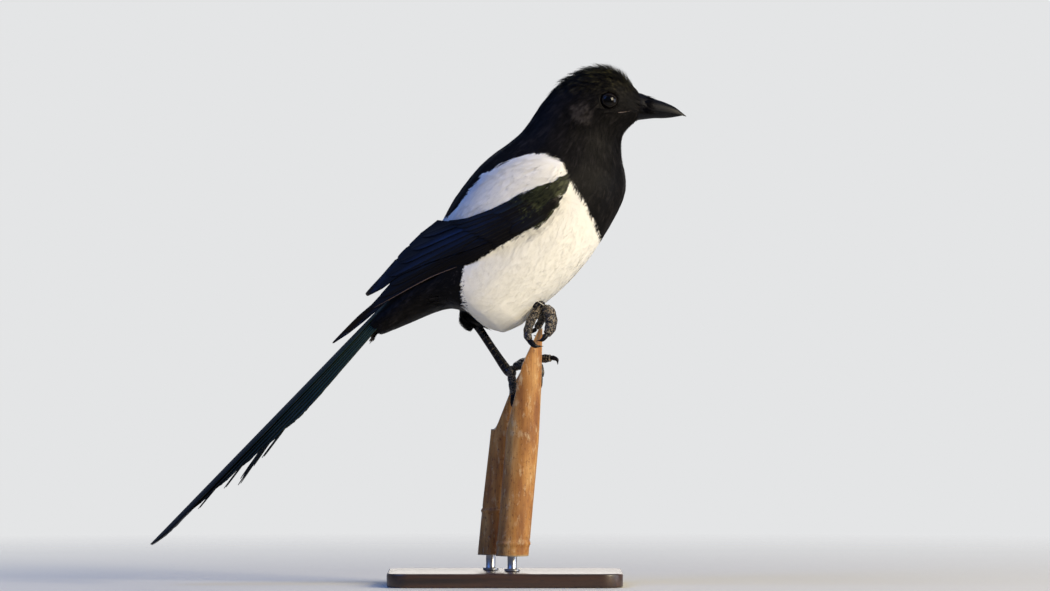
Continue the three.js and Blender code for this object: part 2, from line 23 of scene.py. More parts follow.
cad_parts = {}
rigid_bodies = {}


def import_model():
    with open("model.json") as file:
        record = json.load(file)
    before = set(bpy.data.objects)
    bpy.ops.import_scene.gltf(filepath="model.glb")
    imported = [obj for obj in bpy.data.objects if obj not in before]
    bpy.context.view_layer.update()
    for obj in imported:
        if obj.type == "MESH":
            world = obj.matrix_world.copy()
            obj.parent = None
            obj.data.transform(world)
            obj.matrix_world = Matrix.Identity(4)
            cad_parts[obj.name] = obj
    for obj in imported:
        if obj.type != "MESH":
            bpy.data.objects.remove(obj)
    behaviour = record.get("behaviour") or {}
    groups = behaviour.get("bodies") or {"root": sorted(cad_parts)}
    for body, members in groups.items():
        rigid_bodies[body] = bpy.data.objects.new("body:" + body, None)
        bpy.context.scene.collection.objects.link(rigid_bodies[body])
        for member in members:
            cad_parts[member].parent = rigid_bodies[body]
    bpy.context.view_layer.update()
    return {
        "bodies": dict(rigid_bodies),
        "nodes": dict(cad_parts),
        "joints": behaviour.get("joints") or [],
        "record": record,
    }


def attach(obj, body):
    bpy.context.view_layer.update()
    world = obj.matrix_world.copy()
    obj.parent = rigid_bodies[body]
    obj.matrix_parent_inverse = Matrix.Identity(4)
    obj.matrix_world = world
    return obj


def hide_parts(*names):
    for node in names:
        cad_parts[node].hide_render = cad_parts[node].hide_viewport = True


MM = 0.001
SEED = 7
BAKE_MAP = "OFBake"
VANE_MAP = "Vane"
TUFT_PATCH = 0.003  # side of a tuft's patch in the baking map

Array = np.ndarray
Pair = tuple[float, float]
Triple = tuple[float, float, float]
Four = tuple[float, float, float, float]
Table = tuple[tuple[float, ...], ...]
Rows = Sequence[Sequence[float]]
Rng = np.random.Generator
Tree = bpy.types.NodeTree
Socket = bpy.types.NodeSocket
Mesh = bpy.types.Mesh
BMesh = bmesh.types.BMesh

log = logging.getLogger("magpie")


class Side(Enum):
    """The bird's own sides, as the sign of Y."""

    RIGHT = -1
    LEFT = 1

    @property
    def word(self) -> str:
        """The side's name as the frame's nodes spell it."""
        return self.name.lower()


class Slot(Enum):
    """The record's material slots."""

    BLACK = "black_plumage"
    WHITE = "white_plumage"
    BLUE = "blue_plumage"
    GREEN = "green_plumage"
    HORN = "horn"
    LEG = "leg_scales"
    EYE = "eye"
    REED = "reed"
    WOOD = "stand_wood"
    STEEL = "stand_steel"


# Numbers


def smoothstep(low: float, high: float, x: Array) -> Array:
    """A smooth rise from 0 at low to 1 at high.

    Args:
        low: Where the rise begins.
        high: Where it ends.
        x: The values to read it at.

    Returns:
        The share at each value.
    """
    share = np.clip((np.asarray(x, float) - low) / (high - low), 0.0, 1.0)
    return share * share * (3 - 2 * share)


def reading(rows: Rows, x: Array) -> Array:
    """Straight-line reading of a short table.

    Args:
        rows: Pairs of a place and a value, in rising order of place.
        x: The places to read.

    Returns:
        The value at each place.
    """
    places, values = zip(*rows)
    return np.interp(x, places, values)


def unit(vectors: Array) -> Array:
    """Vectors scaled to a length of one.

    Args:
        vectors: An array whose last axis holds X, Y and Z.

    Returns:
        The unit vectors.
    """
    return vectors / np.maximum(np.linalg.norm(vectors, axis=-1, keepdims=True), 1e-12)


def along_surface(vectors: Array, normals: Array) -> Array:
    """The part of each vector that lies along the surface, as a unit vector.

    Args:
        vectors: Directions.
        normals: The surface's unit normals at the same places.

    Returns:
        Unit vectors across the normals.
    """
    return unit(vectors - (vectors * normals).sum(-1, keepdims=True) * normals)


def inside_distance(points: Array, outline: Rows) -> Array:
    """How far points lie inside a closed outline, negative outside it.

    Args:
        points: N rows of two numbers.
        outline: The outline's corners in order.

    Returns:
        The distance from each point to the outline's edge, with its sign.
    """
    corners = np.array(outline, float)
    nearest = np.full(len(points), np.inf)
    inside = np.zeros(len(points), bool)
    for start, end in zip(corners, np.roll(corners, -1, axis=0)):
        edge = end - start
        away = points - start
        share = np.clip((away @ edge) / max(edge @ edge, 1e-12), 0, 1)
        nearest = np.minimum(nearest, np.linalg.norm(away - share[:, None] * edge, axis=1))
        crosses = (start[1] > points[:, 1]) != (end[1] > points[:, 1])
        rise = edge[1] if abs(edge[1]) > 1e-12 else 1e-12
        inside ^= crosses & (points[:, 0] < start[0] + edge[0] * (points[:, 1] - start[1]) / rise)
    return np.where(inside, nearest, -nearest)


# Materials


def colour(code: str) -> Four:
    """An sRGB hex value as the linear colour that shaders take.

    Args:
        code: Six hex digits after a hash sign.

    Returns:
        Red, green, blue and an alpha of one.
    """
    parts = [int(code[i : i + 2], 16) / 255 for i in (1, 3, 5)]
    red, green, blue = (c / 12.92 if c <= 0.04045 else ((c + 0.055) / 1.055) ** 2.4 for c in parts)
    return (red, green, blue, 1.0)


def add(tree: Tree, kind: str, inputs: dict[Any, Any] | None = None, **settings: Any) -> bpy.types.Node:
    """Adds a node with its settings, values and links.

    Args:
        tree: The material's node tree.
        kind: The node's type, without its ShaderNode prefix.
        inputs: For each socket's name or number, a value or the socket that feeds it.
        **settings: Properties of the node itself.

    Returns:
        The new node.
    """
    made = tree.nodes.new("ShaderNode" + kind)
    for name, value in settings.items():
        setattr(made, name, value)
    for key, value in (inputs or {}).items():
        if isinstance(value, Socket):
            tree.links.new(value, made.inputs[key])
        else:
            made.inputs[key].default_value = value
    return made


def ramp(tree: Tree, factor: Socket, stops: Sequence[tuple[float, str]]) -> Socket:
    """A colour ramp over sRGB hex stops.

    Args:
        tree: The material's node tree.
        factor: The socket that drives the ramp.
        stops: Pairs of a place from 0 to 1 and a hex colour.

    Returns:
        The ramp's colour socket.
    """
    made = add(tree, "ValToRGB", {0: factor})
    elements = made.color_ramp.elements
    while len(elements) < len(stops):
        elements.new(0.5)
    for element, (place, code) in zip(elements, stops):
        element.position = place
        element.color = colour(code)
    return made.outputs[0]


def attribute(tree: Tree, name: str) -> Socket:
    """The socket that reads a number stored on the mesh."""
    return add(tree, "Attribute", attribute_name=name).outputs["Fac"]


def mixed(tree: Tree, factor: Any, a: Any, b: Any) -> Socket:
    """A mix of two colours.

    Args:
        tree: The material's node tree.
        factor: A number or socket: 0 gives the first colour.
        a: The first colour or its socket.
        b: The second colour or its socket.

    Returns:
        The mixed colour's socket.
    """
    return add(tree, "Mix", {0: factor, 6: a, 7: b}, data_type="RGBA").outputs[2]


def maths(tree: Tree, operation: str, *values: Any) -> Socket:
    """The result of one operation on numbers.

    Args:
        tree: The material's node tree.
        operation: The operation's name.
        *values: Numbers or the sockets that feed them.

    Returns:
        The result's socket.
    """
    return add(tree, "Math", dict(enumerate(values)), operation=operation).outputs[0]


def ranged(tree: Tree, value: Any, source: Pair, to: Pair = (0.0, 1.0)) -> Socket:
    """A number moved from one range to another and kept inside it.

    Args:
        tree: The material's node tree.
        value: The socket to read.
        source: The range of the number read.
        to: The range given back.

    Returns:
        The result's socket.
    """
    return add(tree, "MapRange", dict(enumerate((value, *source, *to)))).outputs[0]


def scaled_place(tree: Tree, size: Triple) -> Socket:
    """Object coordinates divided by a pattern's real size.

    Args:
        tree: The material's node tree.
        size: The pattern's size along X, Y and Z in millimetres.

    Returns:
        The coordinates' socket.
    """
    place = add(tree, "TexCoord").outputs["Object"]
    scale = tuple(1 / (s * MM) for s in size)
    return add(tree, "Mapping", {0: place, 3: scale}).outputs[0]


def grain(tree: Tree, size: Triple, detail: float = 3.0, rough: float = 0.55) -> Socket:
    """Noise whose lumps have a real size.

    Args:
        tree: The material's node tree.
        size: The lumps' size along X, Y and Z in millimetres.
        detail: How many finer layers are added.
        rough: How strong the finer layers are.

    Returns:
        The noise value's socket.
    """
    inputs = {"Vector": scaled_place(tree, size), "Scale": 1.0, "Detail": detail, "Roughness": rough}
    return add(tree, "TexNoise", inputs).outputs[0]


def bump(tree: Tree, height: Socket, depth: float, strength: float) -> Socket:
    """Surface relief.

    Args:
        tree: The material's node tree.
        height: The socket that gives the height from 0 to 1.
        depth: The height's full range in millimetres.
        strength: Share of the relief that shows.

    Returns:
        The normal's socket.
    """
    return add(tree, "Bump", {"Height": height, "Distance": depth * MM, "Strength": strength}).outputs[0]


@dataclass(frozen=True)
class Finish:
    """A surface finish. Each kind below says what its real material gives the eye."""

    name: str

    def shader(self, tree: Tree) -> dict[str, Any]:
        """The inputs of the surface's shader. Each finish gives its own."""
        raise NotImplementedError

    def surface(self, tree: Tree) -> Socket:
        """The socket of the finished surface."""
        return add(tree, "BsdfPrincipled", self.shader(tree)).outputs[0]

    def material(self) -> bpy.types.Material:
        """The finish as a material, made once and then used again.

        Returns:
            The material.
        """
        made = bpy.data.materials.get(self.name)
        if made:
            return made
        made = bpy.data.materials.new(self.name)
        made.use_nodes = True
        made.node_tree.nodes.clear()
        add(made.node_tree, "OutputMaterial", {0: self.surface(made.node_tree)})
        return made


@dataclass(frozen=True)
class BodyPlumage(Finish):
    """Soft contour feathers: matt barbs, deep black with green glints, or warm white with darker bases.

    The mesh says how white each feather is, gives it a tone of its own, and says how near its tip a point is.
    """

    black: str = "#0e0d0d"
    # painted highlight: the glint colour of black feathers' tips below the crown
    black_worn: str = "#3a3635"
    black_green: str = "#726c42"
    white: str = "#f8f5ea"
    white_base: str = "#f1ede1"
    crown: Pair = (312.0, 326.0)  # heights over which green glints take over
    glints: float = 2.0  # how few of the tips glint
    rough: Pair = (0.5, 0.85)  # of black and of white

    def shader(self, tree: Tree) -> dict[str, Any]:
        """Black and white mixed by the feather's own mark."""
        tone = attribute(tree, "tone")
        tip = attribute(tree, "tip")
        mark = attribute(tree, "white")
        height = add(tree, "SeparateXYZ", {0: add(tree, "TexCoord").outputs["Object"]}).outputs[2]
        green = ranged(tree, height, (self.crown[0] * MM, self.crown[1] * MM))
        # painted highlight: the tips' glint colour, grey-brown below the crown and green on it
        worn = mixed(tree, green, colour(self.black_worn), colour(self.black_green))
        glint = maths(tree, "POWER", maths(tree, "MULTIPLY", tone, tip), self.glints)
        black = mixed(tree, glint, colour(self.black), worn)
        pale = ranged(tree, tip, (0.0, 0.7), (0.25, 1.0))
        white = mixed(tree, pale, colour(self.white_base), colour(self.white))
        return {
            "Base Color": mixed(tree, mark, black, white),
            "Roughness": ranged(tree, mark, (0.0, 1.0), self.rough),
            "Specular IOR Level": 0.06,
        }


@dataclass(frozen=True)
class QuillPlumage(Finish):
    """Flight and tail feathers: close barbs with a thin-film gloss that takes a colour from the light.

    The gloss is a dark, coloured, half-metallic surface. The mesh says where on the stops of colour each
    point lies, and gives each feather a tone. Barbs are twice as coarse as real ones, so that they show.
    """

    stops: tuple[tuple[float, str], ...] = (
        (0.0, "#282b20"),  # olive at the wrist
        (0.25, "#22281f"),  # green on the coverts
        (0.55, "#222e43"),  # blue on the inner quills
        (0.8, "#1c1d20"),
        (1.0, "#201c1a"),  # black on the outer quills
    )
    dark: str = "#181513"
    light: str = "#464a50"
    metal: float = 0.5
    rough: float = 0.38
    streak: Triple = (1.6, 0.05, 1.0)  # streaks for each millimetre across and along
    barb: float = 0.8
    slant: float = 1.6  # millimetres along the feather for each millimetre across
    inner: float = 0.75  # how dark the inner vane is: its own black, and painted shade where it lies under its neighbour

    def shader(self, tree: Tree) -> dict[str, Any]:
        """Gloss colour by place and tone, with slanting barbs as relief."""
        gloss = ramp(tree, attribute(tree, "hue"), self.stops)
        vane = add(tree, "SeparateXYZ", {0: add(tree, "UVMap", uv_map=VANE_MAP).outputs[0]})
        streaks = add(tree, "CombineXYZ", {0: vane.outputs[0], 1: vane.outputs[1]}).outputs[0]
        streaks = add(tree, "Mapping", {0: streaks, 3: self.streak}).outputs[0]
        streaks = add(tree, "TexNoise", {"Vector": streaks, "Scale": 1.0, "Detail": 3.0}).outputs[0]
        shade = maths(tree, "ADD", attribute(tree, "tone"), streaks)
        base = mixed(tree, ranged(tree, shade, (0.5, 1.15), (0.0, 0.9)), gloss, colour(self.dark))
        base = mixed(tree, ranged(tree, streaks, (0.52, 0.72), (0.0, 0.4)), base, colour(self.light))
        # darker from the outer edge towards the shaft and over the inner vane: partly the quill's own dark web,
        # partly painted shade under the neighbouring feather
        edge = ranged(tree, vane.outputs[0], (-2.6, -0.4), (0.0, self.inner))
        base = mixed(tree, edge, base, colour(self.dark))
        across = maths(tree, "ABSOLUTE", vane.outputs[0])
        slanted = maths(tree, "MULTIPLY_ADD", across, self.slant, vane.outputs[1])
        barbs = maths(tree, "SINE", maths(tree, "MULTIPLY", slanted, 2 * math.pi / self.barb))
        return {
            "Base Color": base,
            "Metallic": self.metal,
            "Roughness": self.rough,
            "Specular IOR Level": 0.12,
            "Normal": bump(tree, ranged(tree, barbs, (-1.0, 1.0)), 0.05, 0.5),
        }


@dataclass(frozen=True)
class CovertPlumage(Finish):
    """Small glossy feathers of the wing's front: olive-green black, with a broken shine on the tips."""

    dark: str = "#090b09"
    glint: str = "#575c3d"

    def shader(self, tree: Tree) -> dict[str, Any]:
        """Glints on some of the tips."""
        shine = maths(tree, "MULTIPLY", attribute(tree, "tone"), attribute(tree, "tip"))
        return {
            "Base Color": mixed(tree, shine, colour(self.dark), colour(self.glint)),
            "Metallic": 0.3,
            "Roughness": 0.42,
            "Specular IOR Level": 0.2,
        }


@dataclass(frozen=True)
class Horn(Finish):
    """Keratin of bill and claws: black, smooth and slightly worn, so it shines softly with faint streaks."""

    base: str = "#07080d"
    worn: str = "#11131b"
    rough: float = 0.38
    vary: Pair = (0.06, 0.14)  # how much smoother and rougher the streaks are

    def shader(self, tree: Tree) -> dict[str, Any]:
        """Lengthwise streaks and fine scratches."""
        streaks = grain(tree, (9, 1.1, 0.9), 4.0, 0.6)
        worn = ranged(tree, streaks, (0.45, 0.75))
        rough = (self.rough - self.vary[0], self.rough + self.vary[1])
        return {
            "Base Color": mixed(tree, worn, colour(self.base), colour(self.worn)),
            "Roughness": ranged(tree, streaks, (0.3, 0.7), rough),
            "Specular IOR Level": 0.2,
            "Normal": bump(tree, streaks, 0.05, 0.3),
        }


@dataclass(frozen=True)
class LegSkin(Finish):
    """Scaled skin of the leg and toes: black keratin plates with a dull shine and dusty, pebbled edges."""

    base: str = "#070606"
    dusty: str = "#b09d82"
    rough: Pair = (0.14, 0.7)  # on the plates and in the grooves
    pebble: float = 1.5

    def shader(self, tree: Tree) -> dict[str, Any]:
        """Dust in the grooves between plates, and pebbles where the mesh says so."""
        groove = attribute(tree, "groove")
        place = scaled_place(tree, (self.pebble,) * 3)
        pebbles = add(tree, "TexVoronoi", {"Vector": place, "Scale": 1.0}, feature="DISTANCE_TO_EDGE")
        pebbled = attribute(tree, "pebbled")
        rims = ranged(tree, pebbles.outputs["Distance"], (0.0, 0.12), (1.0, 0.0))
        seams = maths(tree, "MAXIMUM", groove, maths(tree, "MULTIPLY", rims, pebbled))
        height = maths(tree, "MULTIPLY", ranged(tree, pebbles.outputs["Distance"], (0.0, 0.4)), pebbled)
        rough = maths(tree, "MULTIPLY_ADD", pebbled, 0.2, seams)
        dust = ranged(tree, grain(tree, (1.6, 1.6, 1.6), 4.0, 0.65), (0.45, 0.6))
        dusty = maths(tree, "MULTIPLY", seams, dust)
        return {
            "Base Color": mixed(tree, dusty, colour(self.base), colour(self.dusty)),
            "Specular IOR Level": 0.5,
            "Roughness": ranged(tree, rough, (0.0, 1.2), self.rough),
            "Normal": bump(tree, height, 0.35, 0.8),
        }


@dataclass(frozen=True)
class WetEye(Finish):
    """A bird's eye: black pupil, dark brown iris with fine rays, all under a clear wet cornea."""

    pupil: Pair = (2.4, 2.9)  # radii where the pupil ends and the iris begins
    black: str = "#020202"
    iris: tuple[str, str] = ("#080504", "#0e0907")
    centre: Pair = (65.9, 309.6)  # X and Z

    def shader(self, tree: Tree) -> dict[str, Any]:
        """Iris colour by the distance from the eye's axis."""
        place = add(tree, "TexCoord").outputs["Object"]
        middle = (self.centre[0] * MM, 0.0, self.centre[1] * MM)
        moved = add(tree, "VectorMath", {0: place, 1: middle}, operation="SUBTRACT").outputs[0]
        flat = add(tree, "VectorMath", {0: moved, 1: (1.0, 0.0, 1.0)}, operation="MULTIPLY").outputs[0]
        reach = add(tree, "VectorMath", {0: flat}, operation="LENGTH").outputs["Value"]
        edge = ranged(tree, reach, (self.pupil[0] * MM, self.pupil[1] * MM))
        rays = grain(tree, (0.5, 0.5, 0.5), 3.0)
        iris = mixed(tree, rays, colour(self.iris[0]), colour(self.iris[1]))
        return {
            "Base Color": mixed(tree, edge, colour(self.black), iris),
            "Roughness": 0.5,
            "Specular IOR Level": 0.0,
            "Coat Weight": 1.0,
            "Coat Roughness": 0.03,
            "Coat IOR": 1.33,
        }


@dataclass(frozen=True)
class BareSkin(Finish):
    """Bare, finely creased skin of lids, mouth corner and bare shafts: matt, with a faint moist shine."""

    base: str
    # colour in the hollows of the creases: painted shade
    crease: str

    def shader(self, tree: Tree) -> dict[str, Any]:
        """Fine creases in relief, darkened in colour as painted shade."""
        folds = grain(tree, (0.5, 0.5, 0.35), 4.0, 0.6)
        return {
            "Base Color": mixed(tree, folds, colour(self.crease), colour(self.base)),
            "Specular IOR Level": 0.12,
            "Roughness": 0.6,
            "Normal": bump(tree, folds, 0.15, 0.7),
        }


@dataclass(frozen=True)
class DryReed(Finish):
    """A dry, weathered cane: tan rind with lengthwise fibres, chalky bloom in patches and brown specks."""

    rind: tuple[str, str, str] = ("#8a5626", "#b27a3a", "#cfa05e")
    fibre: str = "#8a5a2c"
    bloom: str = "#d3bd94"
    speck: str = "#6d3f1c"
    pith: str = "#dcc9a4"

    def shader(self, tree: Tree) -> dict[str, Any]:
        """Fibres, then bloom, then specks, each at its real size."""
        fibres = grain(tree, (0.55, 0.55, 26), 5.0, 0.6)
        broad = grain(tree, (7, 7, 30), 3.0, 0.5)
        rind = ramp(tree, broad, [(0.3, self.rind[0]), (0.5, self.rind[1]), (0.72, self.rind[2])])
        fibre_dark = ranged(tree, fibres, (0.3, 0.62), (0.55, 0.0))
        rind = mixed(tree, fibre_dark, rind, colour(self.fibre))
        patches = grain(tree, (3.4, 3.4, 8.5), 7.0, 0.68)
        bloom = ranged(tree, patches, (0.55, 0.72), (0.0, 0.75))
        surface = mixed(tree, bloom, rind, colour(self.bloom))
        spots = grain(tree, (1.5, 1.5, 2.6), 5.0, 0.7)
        speck = ranged(tree, spots, (0.55, 0.66), (0.0, 0.8))
        surface = mixed(tree, speck, surface, colour(self.speck))
        surface = mixed(tree, attribute(tree, "pith"), surface, colour(self.pith))
        return {
            "Base Color": surface,
            "Roughness": ranged(tree, bloom, (0.0, 0.85), (0.55, 0.9)),
            "Specular IOR Level": 0.4,
            "Normal": bump(tree, maths(tree, "ADD", fibres, patches), 0.35, 0.6),
        }


@dataclass(frozen=True)
class StainedWood(Finish):
    """Dark-stained close-grained wood under satin lacquer: the grain shows as soft bands and fine pores."""

    dark: str = "#24170f"
    light: str = "#4a3020"
    pore: str = "#150d08"

    def shader(self, tree: Tree) -> dict[str, Any]:
        """Bands a few millimetres wide along X, and pores."""
        bands = grain(tree, (95, 5, 5), 4.0, 0.6)
        pores = grain(tree, (7, 0.35, 0.5), 2.0, 0.5)
        wood = mixed(tree, ranged(tree, bands, (0.3, 0.7)), colour(self.dark), colour(self.light))
        return {
            "Base Color": mixed(tree, ranged(tree, pores, (0.58, 0.68), (0.0, 0.6)), wood, colour(self.pore)),
            "Roughness": ranged(tree, pores, (0.3, 0.7), (0.32, 0.48)),
            "Coat Weight": 0.25,
            "Coat Roughness": 0.2,
            "Normal": bump(tree, pores, 0.08, 0.4),
        }


@dataclass(frozen=True)
class BrushedSteel(Finish):
    """Turned and brushed stainless steel: fine rings round the rod that spread the highlight."""

    base: str = "#b9babc"

    def shader(self, tree: Tree) -> dict[str, Any]:
        """Fine rings in relief and roughness."""
        rings = grain(tree, (40, 40, 0.12), 2.0, 0.5)
        return {
            "Base Color": colour(self.base),
            "Metallic": 1.0,
            "Roughness": ranged(tree, rings, (0.3, 0.7), (0.24, 0.42)),
            "Normal": bump(tree, rings, 0.03, 0.3),
        }


# Meshes


def piece_of(name: str, mesh: Mesh, finish: Finish, slot: Slot, nodes: Sequence[str] = ()) -> None:
    """Links a finished mesh as a piece that rides on the model's only body.

    Args:
        name: The piece's name.
        mesh: Its mesh, in place.
        finish: Its finish.
        slot: The record's slot that the finish belongs to; not used.
        nodes: The frame's nodes that the piece stands for.
    """
    mesh.name = name
    made = bpy.data.objects.new(name, mesh)
    bpy.context.scene.collection.objects.link(made)
    mesh.materials.clear()
    mesh.materials.append(finish.material())
    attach(made, "root")
    if nodes:
        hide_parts(*nodes)
    log.info("%s: %d faces", name, len(mesh.polygons))


def mesh_of(
    points: Array,
    faces: Sequence[Array],
    numbers: dict[str, Array] | None = None,
    maps: dict[str, Array] | None = None,
    normals: Array | None = None,
) -> Mesh:
    """A mesh from joined arrays, for the many small feathers.

    Args:
        points: N rows of X, Y and Z in metres.
        faces: Arrays of vertex numbers, each with three or four columns.
        numbers: One value for each vertex, by attribute name.
        maps: Two values for each vertex, by UV map name.
        normals: A normal for each vertex to shade with, in place of the faces' own.

    Returns:
        The mesh.
    """
    mesh = bpy.data.meshes.new("arrays")
    corners = np.concatenate([f.ravel() for f in faces]).astype(np.int32)
    totals = np.concatenate([np.full(len(f), f.shape[1], np.int32) for f in faces])
    mesh.vertices.add(len(points))
    mesh.vertices.foreach_set("co", np.ascontiguousarray(points, np.float32).ravel())
    mesh.loops.add(len(corners))
    mesh.loops.foreach_set("vertex_index", corners)
    mesh.polygons.add(len(totals))
    mesh.polygons.foreach_set("loop_start", np.cumsum(totals) - totals)
    mesh.polygons.foreach_set("loop_total", totals)
    mesh.polygons.foreach_set("use_smooth", np.ones(len(totals), bool))
    mesh.update(calc_edges=True)
    for name, values in (numbers or {}).items():
        layer = mesh.attributes.new(name, "FLOAT", "POINT")
        layer.data.foreach_set("value", np.ascontiguousarray(values, np.float32).ravel())
    for name, values in (maps or {}).items():
        layer = mesh.uv_layers.new(name=name)
        layer.data.foreach_set("uv", np.ascontiguousarray(values[corners], np.float32).ravel())
    if normals is not None:
        mesh.normals_split_custom_set_from_vertices(np.ascontiguousarray(normals, np.float32))
    return mesh


def points_of(mesh: Mesh) -> Array:
    """A mesh's vertices as N rows of X, Y and Z."""
    flat = np.empty(3 * len(mesh.vertices), np.float32)
    mesh.vertices.foreach_get("co", flat)
    return flat.reshape(-1, 3).astype(float)


def normals_of(mesh: Mesh) -> Array:
    """A mesh's vertex normals as N rows of X, Y and Z."""
    flat = np.empty(3 * len(mesh.vertices), np.float32)
    mesh.vertex_normals.foreach_get("vector", flat)
    return flat.reshape(-1, 3).astype(float)


def welded_copy(frame: dict[str, Any], names: Sequence[str], grow: float = 0.0) -> BMesh:
    """A closed copy of some of the frame's nodes.

    Args:
        frame: The loaded frame.
        names: The nodes to copy into one mesh.
        grow: How far each node's surface is moved outwards first.

    Returns:
        The copy, which the caller frees.
    """
    whole = bmesh.new()
    for name in names:
        part = bmesh.new()
        part.from_mesh(frame["nodes"][name].data)
        bmesh.ops.remove_doubles(part, verts=part.verts, dist=0.01 * MM)
        part.normal_update()
        for vertex in part.verts:
            vertex.co += vertex.normal * (grow * MM)
        mesh = bpy.data.meshes.new("part")
        part.to_mesh(mesh)
        part.free()
        whole.from_mesh(mesh)
        bpy.data.meshes.remove(mesh)
    return whole


def lofted(across: int, along: int, place: Callable[[float, float], Sequence[float]]) -> BMesh:
    """A tube or shell made from a grid: every vertex is placed by its two shares, and the seam is welded.

    Args:
        across: Faces round the section.
        along: Faces along the length.
        place: Gives X, Y and Z in millimetres for the shares round and along.

    Returns:
        The mesh, with its faces pointing outwards.
    """
    made = bmesh.new()
    bmesh.ops.create_grid(made, x_segments=across, y_segments=along, size=1)
    for vertex in made.verts:
        vertex.co = Vector(place((vertex.co.x + 1) / 2, (vertex.co.y + 1) / 2)) * MM
    bmesh.ops.remove_doubles(made, verts=made.verts, dist=0.004 * MM)
    bmesh.ops.dissolve_degenerate(made, dist=0.002 * MM, edges=made.edges)
    bmesh.ops.recalc_face_normals(made, faces=made.faces)
    return made


def mesh_from(made: BMesh) -> Mesh:
    """Turns a bmesh into a smoothly shaded mesh and frees it.

    Args:
        made: The bmesh.

    Returns:
        The mesh.
    """
    for face in made.faces:
        face.smooth = True
    mesh = bpy.data.meshes.new("made")
    made.to_mesh(mesh)
    made.free()
    return mesh


def note(made: BMesh, name: str, values: dict[Triple, float]) -> None:
    """Stores a number on each vertex, found by its place in millimetres, rounded to a thousandth.

    Args:
        made: The bmesh.
        name: The attribute's name.
        values: The number at each place.
    """
    layer = made.verts.layers.float.new(name)
    for vertex in made.verts:
        vertex[layer] = values.get(tuple(np.round(np.array(vertex.co) / MM, 3)), 0.0)


def curve_at(rows: Array, spot: float) -> Array:
    """A row on the smooth curve through rows.

    Args:
        rows: The rows, with one more at each end to steer the curve.
        spot: The place, from 0 at the second row.

    Returns:
        The row there.
    """
    first = min(int(spot), len(rows) - 4)
    t = spot - first
    a, b, c, d = rows[first : first + 4]
    bend, twist = 2 * a - 5 * b + 4 * c - d, 3 * b - a - 3 * c + d
    return 0.5 * (2 * b + (c - a) * t + bend * t**2 + twist * t**3)


class Path:
    """A smooth curve through rows of X, Y, Z and radius, in millimetres."""

    def __init__(self, rows: Rows) -> None:
        """Keeps the rows, with each end repeated for the curve's tangents.

        Args:
            rows: The points in order.
        """
        self.rows = np.array([rows[0], *rows, rows[-1]], float)
        self.count = len(rows) - 1

    def at(self, share: float) -> Array:
        """The row at a share of the path.

        Args:
            share: From 0 at the start to 1 at the end.

        Returns:
            X, Y, Z and radius.
        """
        return curve_at(self.rows, min(max(share, 0.0), 1.0) * self.count)

    def length(self) -> float:
        """The path's length."""
        spots = np.array([self.at(i / 40)[:3] for i in range(41)])
        return float(np.linalg.norm(np.diff(spots, axis=0), axis=1).sum())

    def frame_at(self, share: float, beside: Array) -> tuple[Array, Array, Array, float]:
        """The path's centre, two directions across it, and its radius.

        Args:
            share: From 0 at the start to 1 at the end.
            beside: A direction that the path never runs along.

        Returns:
            Centre, first direction, second direction and radius.
        """
        row = self.at(share)
        forward = unit(self.at(share + 0.01)[:3] - self.at(share - 0.01)[:3])
        across = unit(np.cross(forward, beside))
        return row[:3], across, np.cross(across, forward), row[3]

    def tube(
        self, around: int, steps: int, beside: Triple, taper: Callable[[float], float], narrow: float = 1.0
    ) -> BMesh:
        """A closed tube along the path.

        Args:
            around: Faces round it.
            steps: Faces along it.
            beside: A direction that the path never runs along.
            taper: The share of the radius at a share of the path.
            narrow: Width across the first direction as a share of the width across the second.

        Returns:
            The tube.
        """

        def place(u: float, v: float) -> Array:
            middle, across, up, radius = self.frame_at(v, np.array(beside))
            turn = 2 * math.pi * u
            return middle + radius * taper(v) * (across * math.cos(turn) * narrow + up * math.sin(turn))

        return lofted(around, steps, place)


# The body's surface, the lie of its feathers and their markings


